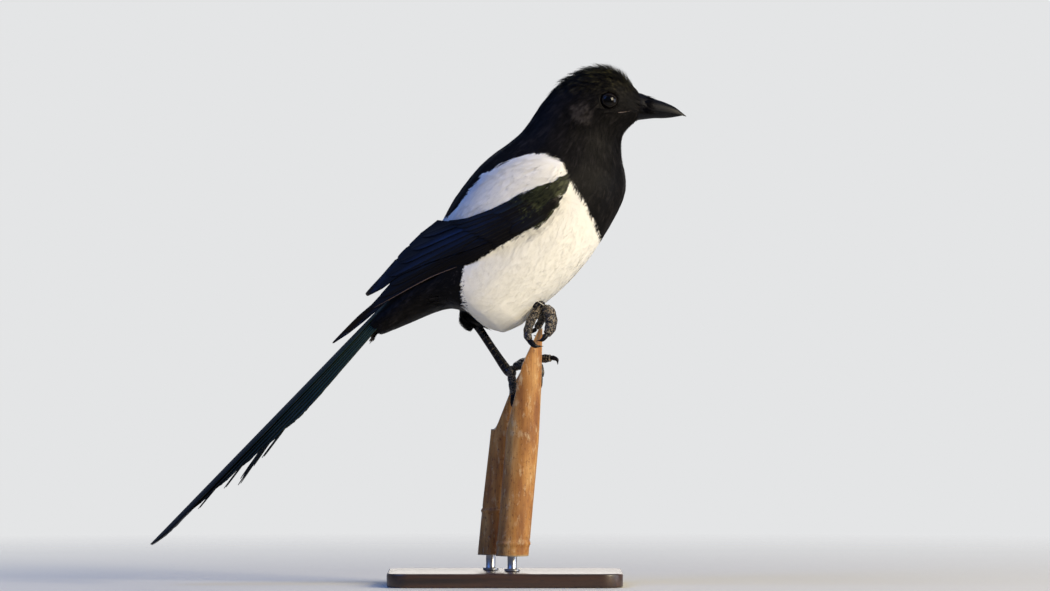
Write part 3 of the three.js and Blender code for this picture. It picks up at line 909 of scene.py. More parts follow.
@dataclass(frozen=True)
class Lie:
    """How feathers lie: along lines from the bill to the tail, read from the body's side view.

    Each guide row is the back's X and Z and the front's X and Z on one section of the body.
    """

    guides: Table = (
        (92.0, 309.0, 90.0, 299.0), (82.0, 320.2, 81.3, 294.0), (64.0, 332.6, 75.5, 286.1),
        (38.4, 324.9, 75.4, 278.4), (16.6, 300.2, 76.8, 269.4), (-5.1, 279.7, 79.4, 254.7),
        (-26.2, 258.6, 71.0, 233.0), (-38.4, 240.0, 52.5, 204.2), (-47.4, 222.1, 22.4, 175.6),
        (-58.2, 205.4, -12.4, 163.2), (-70.4, 189.4, -43.8, 173.2), (-83.2, 174.7, -71.6, 161.8),
        (-100.0, 158.0, -94.0, 150.0),
    )
    fine: int = 144  # sections after smoothing
    soften: int = 13  # sections averaged together
    thigh: Four = (-8.0, 176.0, 13.0, 4.0)  # most X and Z, least Y, and blend
    thigh_lie: Triple = (-0.25, 0.25, -0.95)

    def _sections(self) -> Array:
        """The guides, closer together and smoothed."""
        rows = np.array(self.guides)
        spots = np.linspace(0, len(rows) - 1, self.fine)
        fine = np.stack([np.interp(spots, np.arange(len(rows)), rows[:, c]) for c in range(4)], axis=1)
        pad = self.soften // 2
        wide = np.pad(fine, ((pad, pad), (0, 0)), mode="edge")
        window = np.ones(self.soften) / self.soften
        return np.stack([np.convolve(column, window, "valid") for column in wide.T], axis=1)

    def read(self, points: Array) -> tuple[Array, Array, Array]:
        """Place, share across the section, and direction of the feathers.

        Args:
            points: N rows in metres.

        Returns:
            The place from 0 at the bill to 1 at the tail, the share from 0 at the back to 1 at the front, and
            the direction as N unit rows.
        """
        rows = self._sections()
        back, front = rows[:, :2], rows[:, 2:]
        spots = points[:, [0, 2]] / MM
        span = front - back
        away = spots[:, None, :] - back[None]
        side = span[None, :, 0] * away[..., 1] - span[None, :, 1] * away[..., 0]
        across = (away * span[None]).sum(-1) / (span**2).sum(-1)
        crosses = side[:, :-1] * side[:, 1:] <= 0
        cost = np.where(crosses, np.abs(across[:, :-1] - 0.5), np.inf)
        missed = ~crosses.any(1)
        cost[missed] = np.abs(side[missed][:, :-1]) / np.linalg.norm(span, axis=1)[None, :-1]
        first = cost.argmin(1)
        pick = np.arange(len(points))
        near, far = np.abs(side[pick, first]), np.abs(side[pick, first + 1])
        frac = near / np.maximum(near + far, 1e-9)
        share = np.clip(across[pick, first] * (1 - frac) + across[pick, first + 1] * frac, -0.2, 1.2)
        back_flow, front_flow = (line[first + 1] - line[first] for line in (back, front))
        flow = back_flow * (1 - share[:, None]) + front_flow * share[:, None]
        heading = unit(np.stack([flow[:, 0], np.zeros(len(flow)), flow[:, 1]], axis=1))
        on_thigh = smoothstep(0, 1, (self.thigh[1] - spots[:, 1]) / self.thigh[3])
        on_thigh *= (spots[:, 0] < self.thigh[0]) * (points[:, 1] / MM > self.thigh[2])
        heading = unit(heading * (1 - on_thigh[:, None]) + np.array(self.thigh_lie) * on_thigh[:, None])
        return (first + frac) / (self.fine - 1), share, heading

    def unwrap(self, points: Array) -> Array:
        """The unwrap of the body's own shape: place along it, and angle round it.

        Args:
            points: N rows in metres.

        Returns:
            N rows of two numbers from 0 to 1.
        """
        rows = self._sections()
        place, share, _ = self.read(points)
        index = np.clip(place * (self.fine - 1), 0, self.fine - 1).astype(int)
        depth = np.linalg.norm(rows[index, 2:] - rows[index, :2], axis=1) * (0.5 - share)
        angle = np.arctan2(points[:, 1] / MM, depth)
        return np.stack([0.02 + 0.96 * place, 0.5 + 0.96 * angle / (2 * math.pi)], axis=1)


@dataclass(frozen=True)
class Markings:
    """Where the plumage is white, as outlines in the side view. The rest is black."""

    belly: Table = (
        (42.7, 259.5), (51.7, 245.6), (59.9, 229.3), (63.6, 220.5), (72.0, 206.0), (95.0, 180.0),
        (60.0, 120.0), (-12.0, 120.0), (-12.0, 158.0), (-16.4, 165.4), (-24.2, 175.0), (-27.4, 187.0),
        (-27.0, 203.0), (-18.0, 222.0), (10.0, 245.0),
    )
    shoulder: Table = (
        (40.4, 262.4), (38.6, 268.6), (34.0, 273.2), (27.5, 275.6), (20.5, 276.2), (11.5, 274.6),
        (1.9, 270.7), (-13.1, 263.0), (-21.8, 252.8), (-32.6, 238.7), (-37.4, 235.2), (-38.9, 240.2),
        (-43.0, 244.0), (-54.0, 232.0), (-47.0, 229.0), (-37.0, 231.2), (-23.7, 233.0), (-7.7, 239.0),
        (11.5, 248.2), (35.8, 257.8),
    )
    inset: Pair = (1.0, 0.3)  # how far inside the outlines white tips begin, as they show over black
    edge: float = 0.5  # raggedness of a boundary
    cheek: Triple = (49.5, 301.5, 8.5)  # X, Z and radius of the ear feathers that get more painted glint
    wear: Pair = (1.25, 1.2)  # how much lighter the cheek is by painted glint, and how much darker the crease as painted shade
    # outline of the crease under the cheek, darkened as painted shade
    crease: Table = ((39.6, 303.0), (45.0, 297.0), (53.6, 293.4), (53.0, 291.6), (44.0, 294.4))

    def worn(self, points: Array) -> Array:
        """How much lighter than usual the black feathers are: more painted glint on the cheek, and painted
        shade in the crease under it.

        Args:
            points: N rows in metres.

        Returns:
            A number to add to each feather's tone.
        """
        flat = points[:, [0, 2]] / MM
        reach = np.linalg.norm(flat - np.array(self.cheek[:2]), axis=1)
        pale = self.wear[0] * (1 - smoothstep(0.6 * self.cheek[2], self.cheek[2], reach))
        return pale - self.wear[1] * smoothstep(-1.0, -0.2, inside_distance(flat, self.crease))

    def depth(self, points: Array) -> Array:
        """Distance inside the nearest white area, in millimetres, and below 0 outside.

        Args:
            points: N rows in metres.

        Returns:
            The distances.
        """
        flat = points[:, [0, 2]] / MM
        belly, shoulder = (inside_distance(flat, outline) for outline in (self.belly, self.shoulder))
        return np.maximum(belly - self.inset[0], shoulder - self.inset[1])

    def white(self, points: Array, ragged: Array) -> Array:
        """How white the plumage is.

        Args:
            points: N rows in metres.
            ragged: A number for each point, about -1 to 1, that moves the boundary.

        Returns:
            0 for black and 1 for white.
        """
        return smoothstep(-0.25, 0.25, self.depth(points) + self.edge * ragged)


class Ground:
    """A surface that feathers are rooted on and follow."""

    def __init__(
        self, mesh: Mesh, rounds: tuple[int, int] = (6, 90), near: float = 2.0, head: Pair = (262.0, 286.0)
    ) -> None:
        """Keeps the mesh as a search tree, with normals smoothed over its short edges.

        Args:
            mesh: The surface's mesh.
            rounds: How often a vertex's normal is averaged with its neighbours', on the head and below it.
            near: Length of an edge, in millimetres, over which normals hardly mix.
            head: Heights between which the head's smoothing takes over.
        """
        points, normals = points_of(mesh), normals_of(mesh)
        edges = np.empty(2 * len(mesh.edges), np.int32)
        mesh.edges.foreach_get("vertices", edges)
        edges = edges.reshape(-1, 2)
        length = np.linalg.norm(points[edges[:, 0]] - points[edges[:, 1]], axis=1) / MM
        weight = np.exp(-((length / near) ** 2))
        ends = np.concatenate([edges[:, 0], edges[:, 1]])
        others = np.concatenate([edges[:, 1], edges[:, 0]])
        fine = normals
        for step in range(rounds[1]):
            drawn = [np.bincount(ends, np.tile(weight, 2) * axis[others], len(points)) for axis in normals.T]
            normals = unit(normals + np.stack(drawn, axis=1))
            if step == rounds[0]:
                fine = normals
        share = smoothstep(*head, points[:, 2] / MM)[:, None]
        normals = unit(fine * share + normals * (1 - share))
        faces = [tuple(face.vertices) for face in mesh.polygons]
        self.normals = unit(np.array([normals[list(face)].sum(0) for face in faces]))
        self.tree = BVHTree.FromPolygons([tuple(point) for point in points.tolist()], faces)

    def nearest(self, points: Array) -> tuple[Array, Array]:
        """The nearest places on the surface.

        Args:
            points: N rows in metres.

        Returns:
            The places and the unit normals there.
        """
        found = [self.tree.find_nearest(p) for p in points.tolist()]
        return np.array([f[0] for f in found], float), self.normals[np.array([f[2] for f in found])]

    def hidden(self, points: Array, directions: Array, reach: float) -> Array:
        """Whether the surface lies over each point.

        Args:
            points: N rows in metres.
            directions: The way to look from each point.
            reach: How far to look, in millimetres.

        Returns:
            True for each point that is covered.
        """
        pairs = zip(points.tolist(), directions.tolist())
        return np.array([self.tree.ray_cast(p, d, reach * MM)[0] is not None for p, d in pairs])


@dataclass(frozen=True)
class Skin:
    """The one skin under the feathers, from the bill to the tail, with the folded wing's fleshy front."""

    flesh: tuple[str, ...] = ("head", "neck", "breast", "belly", "tail_coverts", "thigh_left")
    wing: tuple[str, ...] = ("scapulars_right", "scapulars_left", "wing_coverts_right", "wing_coverts_left")
    overlap: float = 0.3  # how far the parts grow into each other
    voxel: float = 1.25
    rounds: int = 10  # of smoothing
    black_wing: Four = (-2.0, 150.0, -0.5, 100.0)  # stretch of the wing without white, as on_wrist reads it
    # [place from bill to tail, depth under the feathers' outer surface]
    depth: Table = ((0.0, 0.7), (0.1, 1.0), (0.2, 1.5), (0.35, 1.6), (0.8, 1.6), (1.0, 1.4))
    eye: Triple = (65.9, 14.5, 309.6)
    eye_reach: Pair = (6.0, 10.0)  # distances over which the eye's depth gives way
    eye_depth: float = 0.45
    thigh: Four = (-21.0, 23.0, 170.0, 11.0)  # centre and radius
    thigh_depth: float = 0.4

    def shape(self, frame: dict[str, Any], lie: Lie) -> Mesh:
        """Joins the flesh, smooths it and sinks it by the feathers' depth.

        Args:
            frame: The loaded frame.
            lie: The lie of the feathers, for the depth.

        Returns:
            The skin's mesh.
        """
        whole = mesh_from(welded_copy(frame, self.flesh + self.wing, self.overlap))
        block = bpy.data.objects.new("flesh", whole)
        bpy.context.scene.collection.objects.link(block)
        remesh = block.modifiers.new("join", "REMESH")
        remesh.mode = "VOXEL"
        remesh.voxel_size = self.voxel * MM
        shaped = bpy.data.meshes.new_from_object(block.evaluated_get(bpy.context.evaluated_depsgraph_get()))
        bpy.data.objects.remove(block)
        made = bmesh.new()
        made.from_mesh(shaped)
        shank = Vector(self.thigh[:3]) * MM
        broad = [v for v in made.verts if (v.co - shank).length > self.thigh[3] * MM]
        axes = {"use_axis_x": True, "use_axis_y": True, "use_axis_z": True}
        for _ in range(self.rounds):
            bmesh.ops.smooth_vert(made, verts=broad, factor=0.5, **axes)
        made.to_mesh(shaped)
        made.free()
        points = points_of(shaped)
        place, _, _ = lie.read(points)
        mirrored = points * np.array([1, 0, 1]) + np.abs(points) * np.array([0, 1, 0])
        from_eye = np.linalg.norm(mirrored / MM - np.array(self.eye), axis=1)
        depth = reading(self.depth, place)
        depth += (self.eye_depth - depth) * (1 - smoothstep(*self.eye_reach, from_eye))
        from_thigh = np.linalg.norm(points / MM - np.array(self.thigh[:3]), axis=1)
        off_thigh = smoothstep(0.7 * self.thigh[3], 1.2 * self.thigh[3], from_thigh)
        depth += (self.thigh_depth - depth) * (1 - off_thigh)
        sunk = points - normals_of(shaped) * (depth + self.overlap * 0.5)[:, None] * MM
        shaped.vertices.foreach_set("co", sunk.astype(np.float32).ravel())
        shaped.update()
        return shaped

    def dress(self, mesh: Mesh, patches: "SoftPatches", rng: Rng) -> None:
        """Marks the skin as its feathers are marked, and makes it a piece.

        Args:
            mesh: The skin's mesh.
            patches: The plumage's areas and markings.
            rng: The source of random numbers.
        """
        points = points_of(mesh)
        count = len(points)
        on_wrist = patches.on_wrist(points / MM, *self.black_wing)
        values = {
            "white": patches.markings.white(points, np.zeros(count)) * ~on_wrist,
            "tone": rng.random(count) * 0.5,
            "tip": np.full(count, 0.4),
        }
        for name, value in values.items():
            mesh.attributes.new(name, "FLOAT", "POINT").data.foreach_set("value", value.astype(np.float32))
        for face in mesh.polygons:
            face.use_smooth = True
        nodes = self.flesh + self.wing
        piece_of("plumage_skin", mesh, BodyPlumage("contour_feathers"), Slot.BLACK, nodes)


# Body feathers


@dataclass(frozen=True)
class TuftShape:
    """A tuft of one feather's barbs: thin closed blades that spread from one root."""

    blades: int = 10
    rings: tuple[float, ...] = (0.0, 0.6)  # shares of a blade's length
    widths: tuple[float, ...] = (0.6, 1.0)  # shares of its half width at the rings
    ridge: float = 0.08  # height of a blade as a share of its half width
    roundness: float = 0.22  # how far shading normals lean outwards at a blade's edges
    fray: float = 0.13  # how uneven the blades' lengths are
    steps: int = 4  # steps in which a tuft follows the surface
    shortest: float = 0.72  # length of the outermost blade as a share of the longest
    jitter: float = 0.12
    sink: float = 0.35  # depth of the root under the skin
    uneven: float = 0.07  # how unevenly the blades rise
    calm: float = 0.85  # how much less the shading normals of white blades lean


@dataclass
class TuftField:
    """The tufts' roots and sizes. Every array has one row for each tuft, and lengths are in metres."""

    roots: Array
    normals: Array
    unwrapped: Array
    length: Array
    spread: Array
    blade: Array
    lift: Array
    scatter: Array  # radians
    white: float | None = None  # set where the markings don't decide it

    def part(self, chosen: Array) -> "TuftField":
        """The chosen tufts as a field of their own."""
        return TuftField(**{name: rows[chosen] for name, rows in vars(self).items() if name != "white"})


@dataclass(frozen=True)
class Coat:
    """Lays tufts over a ground."""

    ground: Ground
    heading: Callable[[Array], Array]
    markings: Markings
    shape: TuftShape

    def lay(self, field: TuftField, rng: Rng) -> Mesh:
        """Builds the tufts of a field as one mesh.

        Args:
            field: The roots and sizes.
            rng: The source of random numbers.

        Returns:
            The mesh, with the numbers its finish reads and the baking map.
        """
        spine, normals, sides = self._spines(field, rng)
        shape = self.shape
        count, blades, rings = len(field.roots), shape.blades, len(shape.rings)
        fan = np.linspace(-1, 1, blades)[None, :] + rng.normal(0, shape.jitter, (count, blades))
        reach = 1 - (1 - shape.shortest) * np.abs(fan) + rng.normal(0, shape.fray, (count, blades))
        stations = np.array([*shape.rings, 1.0])
        t = np.clip(reach[..., None] * stations, 0, 1.15)
        centre, up, side = (self._along(a, t) for a in (spine, normals, sides))
        swing = fan[..., None] * t**0.75 * (1.12 - 0.3 * t)
        centre = centre + side * (swing * field.spread[:, None, None])[..., None]
        rise = t**0.65 * (1 + rng.normal(0, shape.uneven, (count, blades))[..., None])
        lift = field.lift[:, None, None] * rise - shape.sink * MM * (1 - t)
        centre = centre + up * lift[..., None]
        half = field.blade[:, None, None] * np.array([*shape.widths, 0.0])
        half = half * rng.uniform(0.8, 1.2, (count, blades, 1))
        left = (centre - side * half[..., None])[:, :, :rings]
        right = (centre + side * half[..., None])[:, :, :rings]
        top = (centre + up * (half * shape.ridge + 0.02 * MM)[..., None])[:, :, :rings]
        tips = centre[:, :, rings:]
        rims = np.stack([left, right, top], axis=3).reshape(count, blades, rings * 3, 3)
        points = np.concatenate([rims, tips], axis=2)
        per_blade = rings * 3 + 1
        ragged = rng.normal(0, 1, count)
        end = spine[:, shape.steps // 2]
        white = self.markings.white(end, ragged) if field.white is None else np.full(count, field.white)
        tone = rng.beta(2, 3, (count, 1)) + rng.normal(0, 0.12, (count, blades))
        upright = 1 - shape.calm * white[:, None, None, None]
        # the cheek's extra painted glint and the crease's painted shade go in through the tone
        tone = np.clip(tone + self.markings.worn(end)[:, None], 0, 1.6)
        sides_off = side[:, :, :rings] * shape.roundness * upright
        upward = up[:, :, :rings]
        shading = np.stack([upward - sides_off, upward + sides_off, upward], axis=3)
        shading = np.concatenate([shading.reshape(count, blades, rings * 3, 3), up[:, :, rings:]], axis=2)
        tip = np.concatenate([np.repeat(t[:, :, :rings], 3, axis=2), t[:, :, rings:]], axis=2)
        lateral = np.repeat(0.35 * swing, 3, axis=2)[:, :, : per_blade]
        lateral = lateral + np.tile([-0.05, 0.05, 0.0], rings + 1)[: per_blade]
        patch = np.stack([lateral, 0.9 * (tip - 0.5)], axis=-1) * TUFT_PATCH
        numbers = {
            "white": np.broadcast_to(white[:, None, None], tip.shape),
            "tone": np.broadcast_to(tone[..., None], tip.shape),
            "tip": tip,
        }
        return mesh_of(
            points.reshape(-1, 3),
            self._faces(count * blades, rings),
            {name: value.reshape(-1) for name, value in numbers.items()},
            {BAKE_MAP: (field.unwrapped[:, None, None] + patch).reshape(-1, 2)},
            unit(shading.reshape(-1, 3)),
        )

    def _spines(self, field: TuftField, rng: Rng) -> tuple[Array, Array, Array]:
        """Follows the surface from each root.

        Args:
            field: The roots and sizes.
            rng: The source of random numbers.

        Returns:
            Points, normals and side directions, each with one row of steps for each tuft.
        """
        turn = rng.normal(0, 1, len(field.roots)) * field.scatter
        spots, normals = field.roots, field.normals
        stride = (field.length / self.shape.steps)[:, None]
        rows = []
        for _ in range(self.shape.steps + 1):
            straight = along_surface(self.heading(spots), normals)
            side = np.cross(straight, normals)
            ahead = straight * np.cos(turn)[:, None] + side * np.sin(turn)[:, None]
            rows.append((spots, normals, np.cross(ahead, normals)))
            found, found_normals = self.ground.nearest(spots + ahead * stride)
            normals = unit(normals + found_normals)
            spots = found
        points, ups, sides = (np.stack(part, axis=1) for part in zip(*rows))
        return points, ups, sides

    @staticmethod
    def _along(rows: Array, t: Array) -> Array:
        """Reads rows of steps at shares of their length, running straight on past the last.

        Args:
            rows: For each tuft, one vector for each step.
            t: For each tuft, shares of the length.

        Returns:
            A vector for each share.
        """
        steps = rows.shape[1] - 1
        spot = t * steps
        first = np.minimum(spot.astype(int), steps - 1)
        share = (spot - first)[..., None]
        tuft = np.arange(len(rows))[:, None, None]
        return rows[tuft, first] * (1 - share) + rows[tuft, first + 1] * share

    @staticmethod
    def _faces(blades: int, rings: int) -> list[Array]:
        """The faces of all blades: three sides between rings, a cap at the root and a point at the tip.

        Args:
            blades: How many blades there are.
            rings: How many rings each has.

        Returns:
            Arrays of quads and of triangles.
        """
        quads = []
        for ring in range(rings - 1):
            left, right, top = (3 * ring + k for k in range(3))
            quads += [[a, b, b + 3, a + 3] for a, b in ((left, top), (top, right), (right, left))]
        left, right, top = (3 * (rings - 1) + k for k in range(3))
        point = 3 * rings
        threes = [[left, top, point], [top, right, point], [right, left, point], [0, 1, 2]]
        starts = np.arange(blades)[:, None, None] * (3 * rings + 1)
        return [(starts + np.array(block)[None]).reshape(-1, len(block[0])) for block in (quads, threes)]


def spots_on(mesh: Mesh, count: int, rng: Rng) -> tuple[Array, Array]:
    """Random spots on a mesh, evenly by area.

    Args:
        mesh: The mesh.
        count: How many spots.
        rng: The source of random numbers.

    Returns:
        The spots and the unit normals there.
    """
    mesh.calc_loop_triangles()
    corners = np.empty(3 * len(mesh.loop_triangles), np.int32)
    mesh.loop_triangles.foreach_get("vertices", corners)
    corners = corners.reshape(-1, 3)
    points, normals = points_of(mesh), normals_of(mesh)
    a, b, c = (points[corners[:, k]] for k in range(3))
    area = np.linalg.norm(np.cross(b - a, c - a), axis=1)
    chosen = rng.choice(len(corners), count, p=area / area.sum())
    weights = rng.dirichlet((1, 1, 1), count)
    picked = corners[chosen]
    return (
        (points[picked] * weights[..., None]).sum(1),
        unit((normals[picked] * weights[..., None]).sum(1)),
    )


def scattered(points: Array, gaps: Array, rng: Rng) -> Array:
    """Picks points so that each keeps its gap to the others.

    Args:
        points: N candidates in metres.
        gaps: The gap each asks for, in metres.
        rng: The source of random numbers.

    Returns:
        The numbers of the picked points.
    """
    tree = KDTree(len(points))
    for number, point in enumerate(points.tolist()):
        tree.insert(point, number)
    tree.balance()
    open_spots = np.ones(len(points), bool)
    picked = []
    for number in rng.permutation(len(points)):
        if not open_spots[number]:
            continue
        picked.append(number)
        for _, other, _ in tree.find_range(points[number], gaps[number]):
            open_spots[other] = False
    return np.array(picked)


@dataclass(frozen=True)
class BodyCoat:
    """The contour feathers of head, neck, trunk and thigh. Tables run from 0 at the bill to 1 at the tail."""

    length: Table = (
        (0.0, 2.4), (0.08, 3.6), (0.16, 5.5), (0.25, 7.5), (0.4, 10.5), (0.6, 14.0), (0.8, 15.0),
        (1.0, 16.0),
    )
    candidates: int = 160000
    gap: Table = ((0.0, 0.8), (0.08, 0.95), (0.16, 1.15), (0.25, 1.5), (0.45, 2.0), (1.0, 2.3))
    spread: Table = ((0.0, 0.6), (0.1, 0.95), (0.25, 1.6), (0.5, 2.5), (1.0, 2.8))
    blade: Table = ((0.0, 0.11), (0.1, 0.14), (0.25, 0.18), (0.5, 0.34), (1.0, 0.38))
    lift: Table = ((0.0, 0.55), (0.1, 0.75), (0.2, 1.0), (0.3, 0.5), (0.38, 0.15), (0.8, 0.15), (1.0, 0.4))
    scatter: Table = ((0.0, 11.0), (0.2, 8.0), (0.34, 3.5), (1.0, 3.5))
    crown: Triple = (316.0, 324.0, 3.1)  # the raised crown's heights and its extra lift
    eye: Triple = (65.9, 14.5, 309.6)
    bare: float = 4.55  # radius round the eye without feathers
    under_wing: float = 14.0
    margin: float = 2.6  # how far a tuft may reach over the edge of its marking
    patch: float = 1.6  # bare strip inside the shoulder patch's edge, where other feathers take over
    pieces: tuple[tuple[str, float], ...] = (
        ("face", 0.13), ("head", 0.24), ("neck", 0.38), ("breast", 0.52), ("belly", 0.66), ("flank", 0.8),
        ("tail_coverts", 2.0),
    )
    overlaps: Pair = (5.0, 1.5)  # how far the feathers reach into the patches at the bill and at the tail
    worn_lift: float = 0.55  # lift of the cheek's feathers, which carry more painted glint, as a share of the crown's

    def field(
        self, skin: Mesh, lie: Lie, patches: "SoftPatches", wings: Ground, rng: Rng
    ) -> tuple[TuftField, Array]:
        """Picks the roots and sizes of the tufts.

        Args:
            skin: The skin's mesh.
            lie: The lie of the feathers.
            patches: The areas that have feathers of their own.
            wings: The folded wings, under which no feathers are needed.
            rng: The source of random numbers.

        Returns:
            The field, and the tufts' places from 0 at the bill to 1 at the tail.
        """
        points, normals = spots_on(skin, self.candidates, rng)
        place, _, _ = lie.read(points)
        mirrored = np.stack([points[:, 0], np.abs(points[:, 1]), points[:, 2]], axis=1) / MM
        keep = np.linalg.norm(mirrored - np.array(self.eye), axis=1) > self.bare
        keep &= ~patches.on_shoulder(points / MM, self.patch)
        keep &= ~patches.on_nose(points / MM - np.array([self.overlaps[0], 0, 0]))
        keep &= ~patches.on_rump(points / MM + np.array([self.overlaps[1], 0, 0]))
        keep &= ~patches.on_thigh(points / MM)
        keep &= ~wings.hidden(points + normals * 0.2 * MM, normals, self.under_wing)
        points, normals, place = points[keep], normals[keep], place[keep]
        room = np.abs(patches.markings.depth(points)) + self.margin
        tight = np.minimum(1, room / reading(self.length, place))
        picked = scattered(points, reading(self.gap, place) * tight**0.5 * MM, rng)
        points, normals, place, tight = points[picked], normals[picked], place[picked], tight[picked]
        raised = smoothstep(self.crown[0], self.crown[1], points[:, 2] / MM)
        raised = raised + self.worn_lift * np.clip(patches.markings.worn(points), 0, 1)
        vary = rng.uniform(0.8, 1.2, len(points)) * tight
        lift = reading(self.lift, place) * tight**0.5 + self.crown[2] * raised * rng.random(len(points))
        field = TuftField(
            roots=points,
            normals=normals,
            unwrapped=lie.unwrap(points),
            length=reading(self.length, place) * vary * MM,
            spread=reading(self.spread, place) * vary**0.7 * MM,
            blade=reading(self.blade, place) * MM,
            lift=lift * MM,
            scatter=np.radians(reading(self.scatter, place)),
        )
        return field, place

    def dress(self, coat: Coat, field: TuftField, place: Array, rng: Rng) -> None:
        """Covers the skin, with pieces of one colour for each length and side of the body.

        Args:
            coat: What lays the tufts.
            field: The tufts.
            place: The tufts' places from 0 at the bill to 1 at the tail.
            rng: The source of random numbers.
        """
        white = coat.markings.white(field.roots, np.zeros(len(place))) > 0.5
        right = field.roots[:, 1] < 0
        start = -1.0
        for name, end in self.pieces:
            for side in Side:
                for slot in (Slot.BLACK, Slot.WHITE):
                    chosen = (place >= start) & (place < end) & (right == (side is Side.RIGHT))
                    chosen &= white == (slot is Slot.WHITE)
                    if chosen.sum() < 8:
                        continue
                    mesh = coat.lay(field.part(chosen), rng)
                    word = slot.name.lower()
                    piece_of(f"coat_{name}_{word}_{side.word}", mesh, BodyPlumage("contour_feathers"), slot)
            start = end


# Folded wings and tail


@dataclass(frozen=True)
class WingPlane:
    """The folded wing laid out flat: s runs from the wrist to the tip, t rises towards the back."""

    wrist: Pair = (42.24, 260.5)  # X and Z
    along: Pair = (-0.8218, -0.5698)
    across: Pair = (-0.5698, 0.8218)
    corner: Pair = (-10.0, -20.0)  # s and t of the first cell
    step: float = 2.0
    cells: tuple[int, int] = (102, 31)
    far: float = 80.0  # where the wing's outer face is looked for from
    tracts: tuple[str, ...] = ("scapulars", "wing_coverts", "wing_secondaries", "wing_primaries")
    # [s, t] of the wing's lower edge and of its edge along the back or the shoulder patch
    low: Table = (
        (0.6, 0.2), (6.1, -3.9), (14.7, -8.4), (29.1, -12.5), (39.0, -11.9), (50.7, -10.6), (60.4, -10.0),
        (81.2, -9.0), (93.3, -5.6), (110.0, -2.0),
    )
    top: Table = (
        (0.6, 1.6), (11.6, 4.4), (31.4, 8.8), (52.2, 12.0), (60.4, 14.0), (68.7, 16.2), (76.3, 20.0),
        (81.0, 22.8), (86.0, 27.2), (99.5, 26.0),
    )

    # [s, the gloss colour's place on its stops] at the top, then [t, how far it has turned black] towards the
    # low edge
    hues: Table = ((0.0, 0.0), (22.0, 0.1), (56.0, 0.24), (72.0, 0.38), (92.0, 0.54), (150.0, 0.62))
    blackening: Table = ((-6.0, 1.0), (2.0, 0.75), (10.0, 0.3), (18.0, 0.0))

    def flat(self, points: Array) -> Array:
        """Where points in metres lie on the plane, as rows of s and t."""
        away = points[:, [0, 2]] / MM - np.array(self.wrist)
        return np.stack([away @ np.array(self.along), away @ np.array(self.across)], axis=1)

    def hue(self, points: Array) -> Array:
        """The gloss colour's place on its stops, for places in metres."""
        s, t = self.flat(points).T
        plain = reading(self.hues, s)
        black = reading(self.blackening, t + 0.06 * np.maximum(s - 100, 0)) * smoothstep(15, 70, s)
        return plain + (1 - plain) * black


class WingSurface:
    """The folded wing's outer face, as a distance from the middle plane for every s and t."""

    def __init__(self, frame: dict[str, Any], side: Side, plane: WingPlane) -> None:
        """Reads the face from the frame's wing tracts, and fills what lies beyond them.

        Args:
            frame: The loaded frame.
            side: The wing's side.
            plane: The wing's plane.
        """
        self.side, self.plane = side, plane
        made = welded_copy(frame, [f"{tract}_{side.word}" for tract in plane.tracts])
        tree = BVHTree.FromBMesh(made)
        made.free()
        reach = np.full(plane.cells, np.nan)
        for i, j in np.ndindex(*plane.cells):
            x, z = self._spot(plane.corner[0] + plane.step * i, plane.corner[1] + plane.step * j)
            start = (x * MM, side.value * plane.far * MM, z * MM)
            hit = tree.ray_cast(start, (0, -side.value, 0))[0]
            if hit is not None:
                reach[i, j] = abs(hit.y) / MM
        known = ~np.isnan(reach)
        reach[~known] = np.nanmean(reach)
        for _ in range(240):
            reach[~known] = self._blurred(reach)[~known]
        for _ in range(3):
            reach = self._blurred(reach)
        self.reach = reach

    def _spot(self, s: Any, t: Any) -> tuple[Any, Any]:
        """X and Z of a place on the plane, in millimetres."""
        p = self.plane
        return p.wrist[0] + s * p.along[0] + t * p.across[0], p.wrist[1] + s * p.along[1] + t * p.across[1]

    @staticmethod
    def _blurred(values: Array) -> Array:
        """The mean of every cell's neighbours."""
        wide = np.pad(values, 1, mode="edge")
        return (wide[2:, 1:-1] + wide[:-2, 1:-1] + wide[1:-1, 2:] + wide[1:-1, :-2]) / 4

    def _face(self, s: Array, t: Array) -> Array:
        """Places on the outer face in millimetres."""
        i = np.clip((s - self.plane.corner[0]) / self.plane.step, 0, self.plane.cells[0] - 1.001)
        j = np.clip((t - self.plane.corner[1]) / self.plane.step, 0, self.plane.cells[1] - 1.001)
        a, b = i.astype(int), j.astype(int)
        u, v = i - a, j - b
        near = self.reach[a, b] * (1 - u) + self.reach[a + 1, b] * u
        far = self.reach[a, b + 1] * (1 - u) + self.reach[a + 1, b + 1] * u
        x, z = self._spot(s, t)
        return np.stack([x, self.side.value * (near * (1 - v) + far * v), z], axis=-1)

    def at(self, s: Array, t: Array, height: Array) -> Array:
        """Places above the outer face.

        Args:
            s: Distances along the wing.
            t: Distances across it.
            height: Distances out from the face.

        Returns:
            Places in metres.
        """
        step = self.plane.step
        ahead = self._face(s + step, t) - self._face(s - step, t)
        up = self._face(s, t + step) - self._face(s, t - step)
        normal = unit(np.cross(ahead, up))
        normal *= np.sign(normal[..., 1:2]) * self.side.value
        return (self._face(s, t) + normal * height[..., None]) * MM


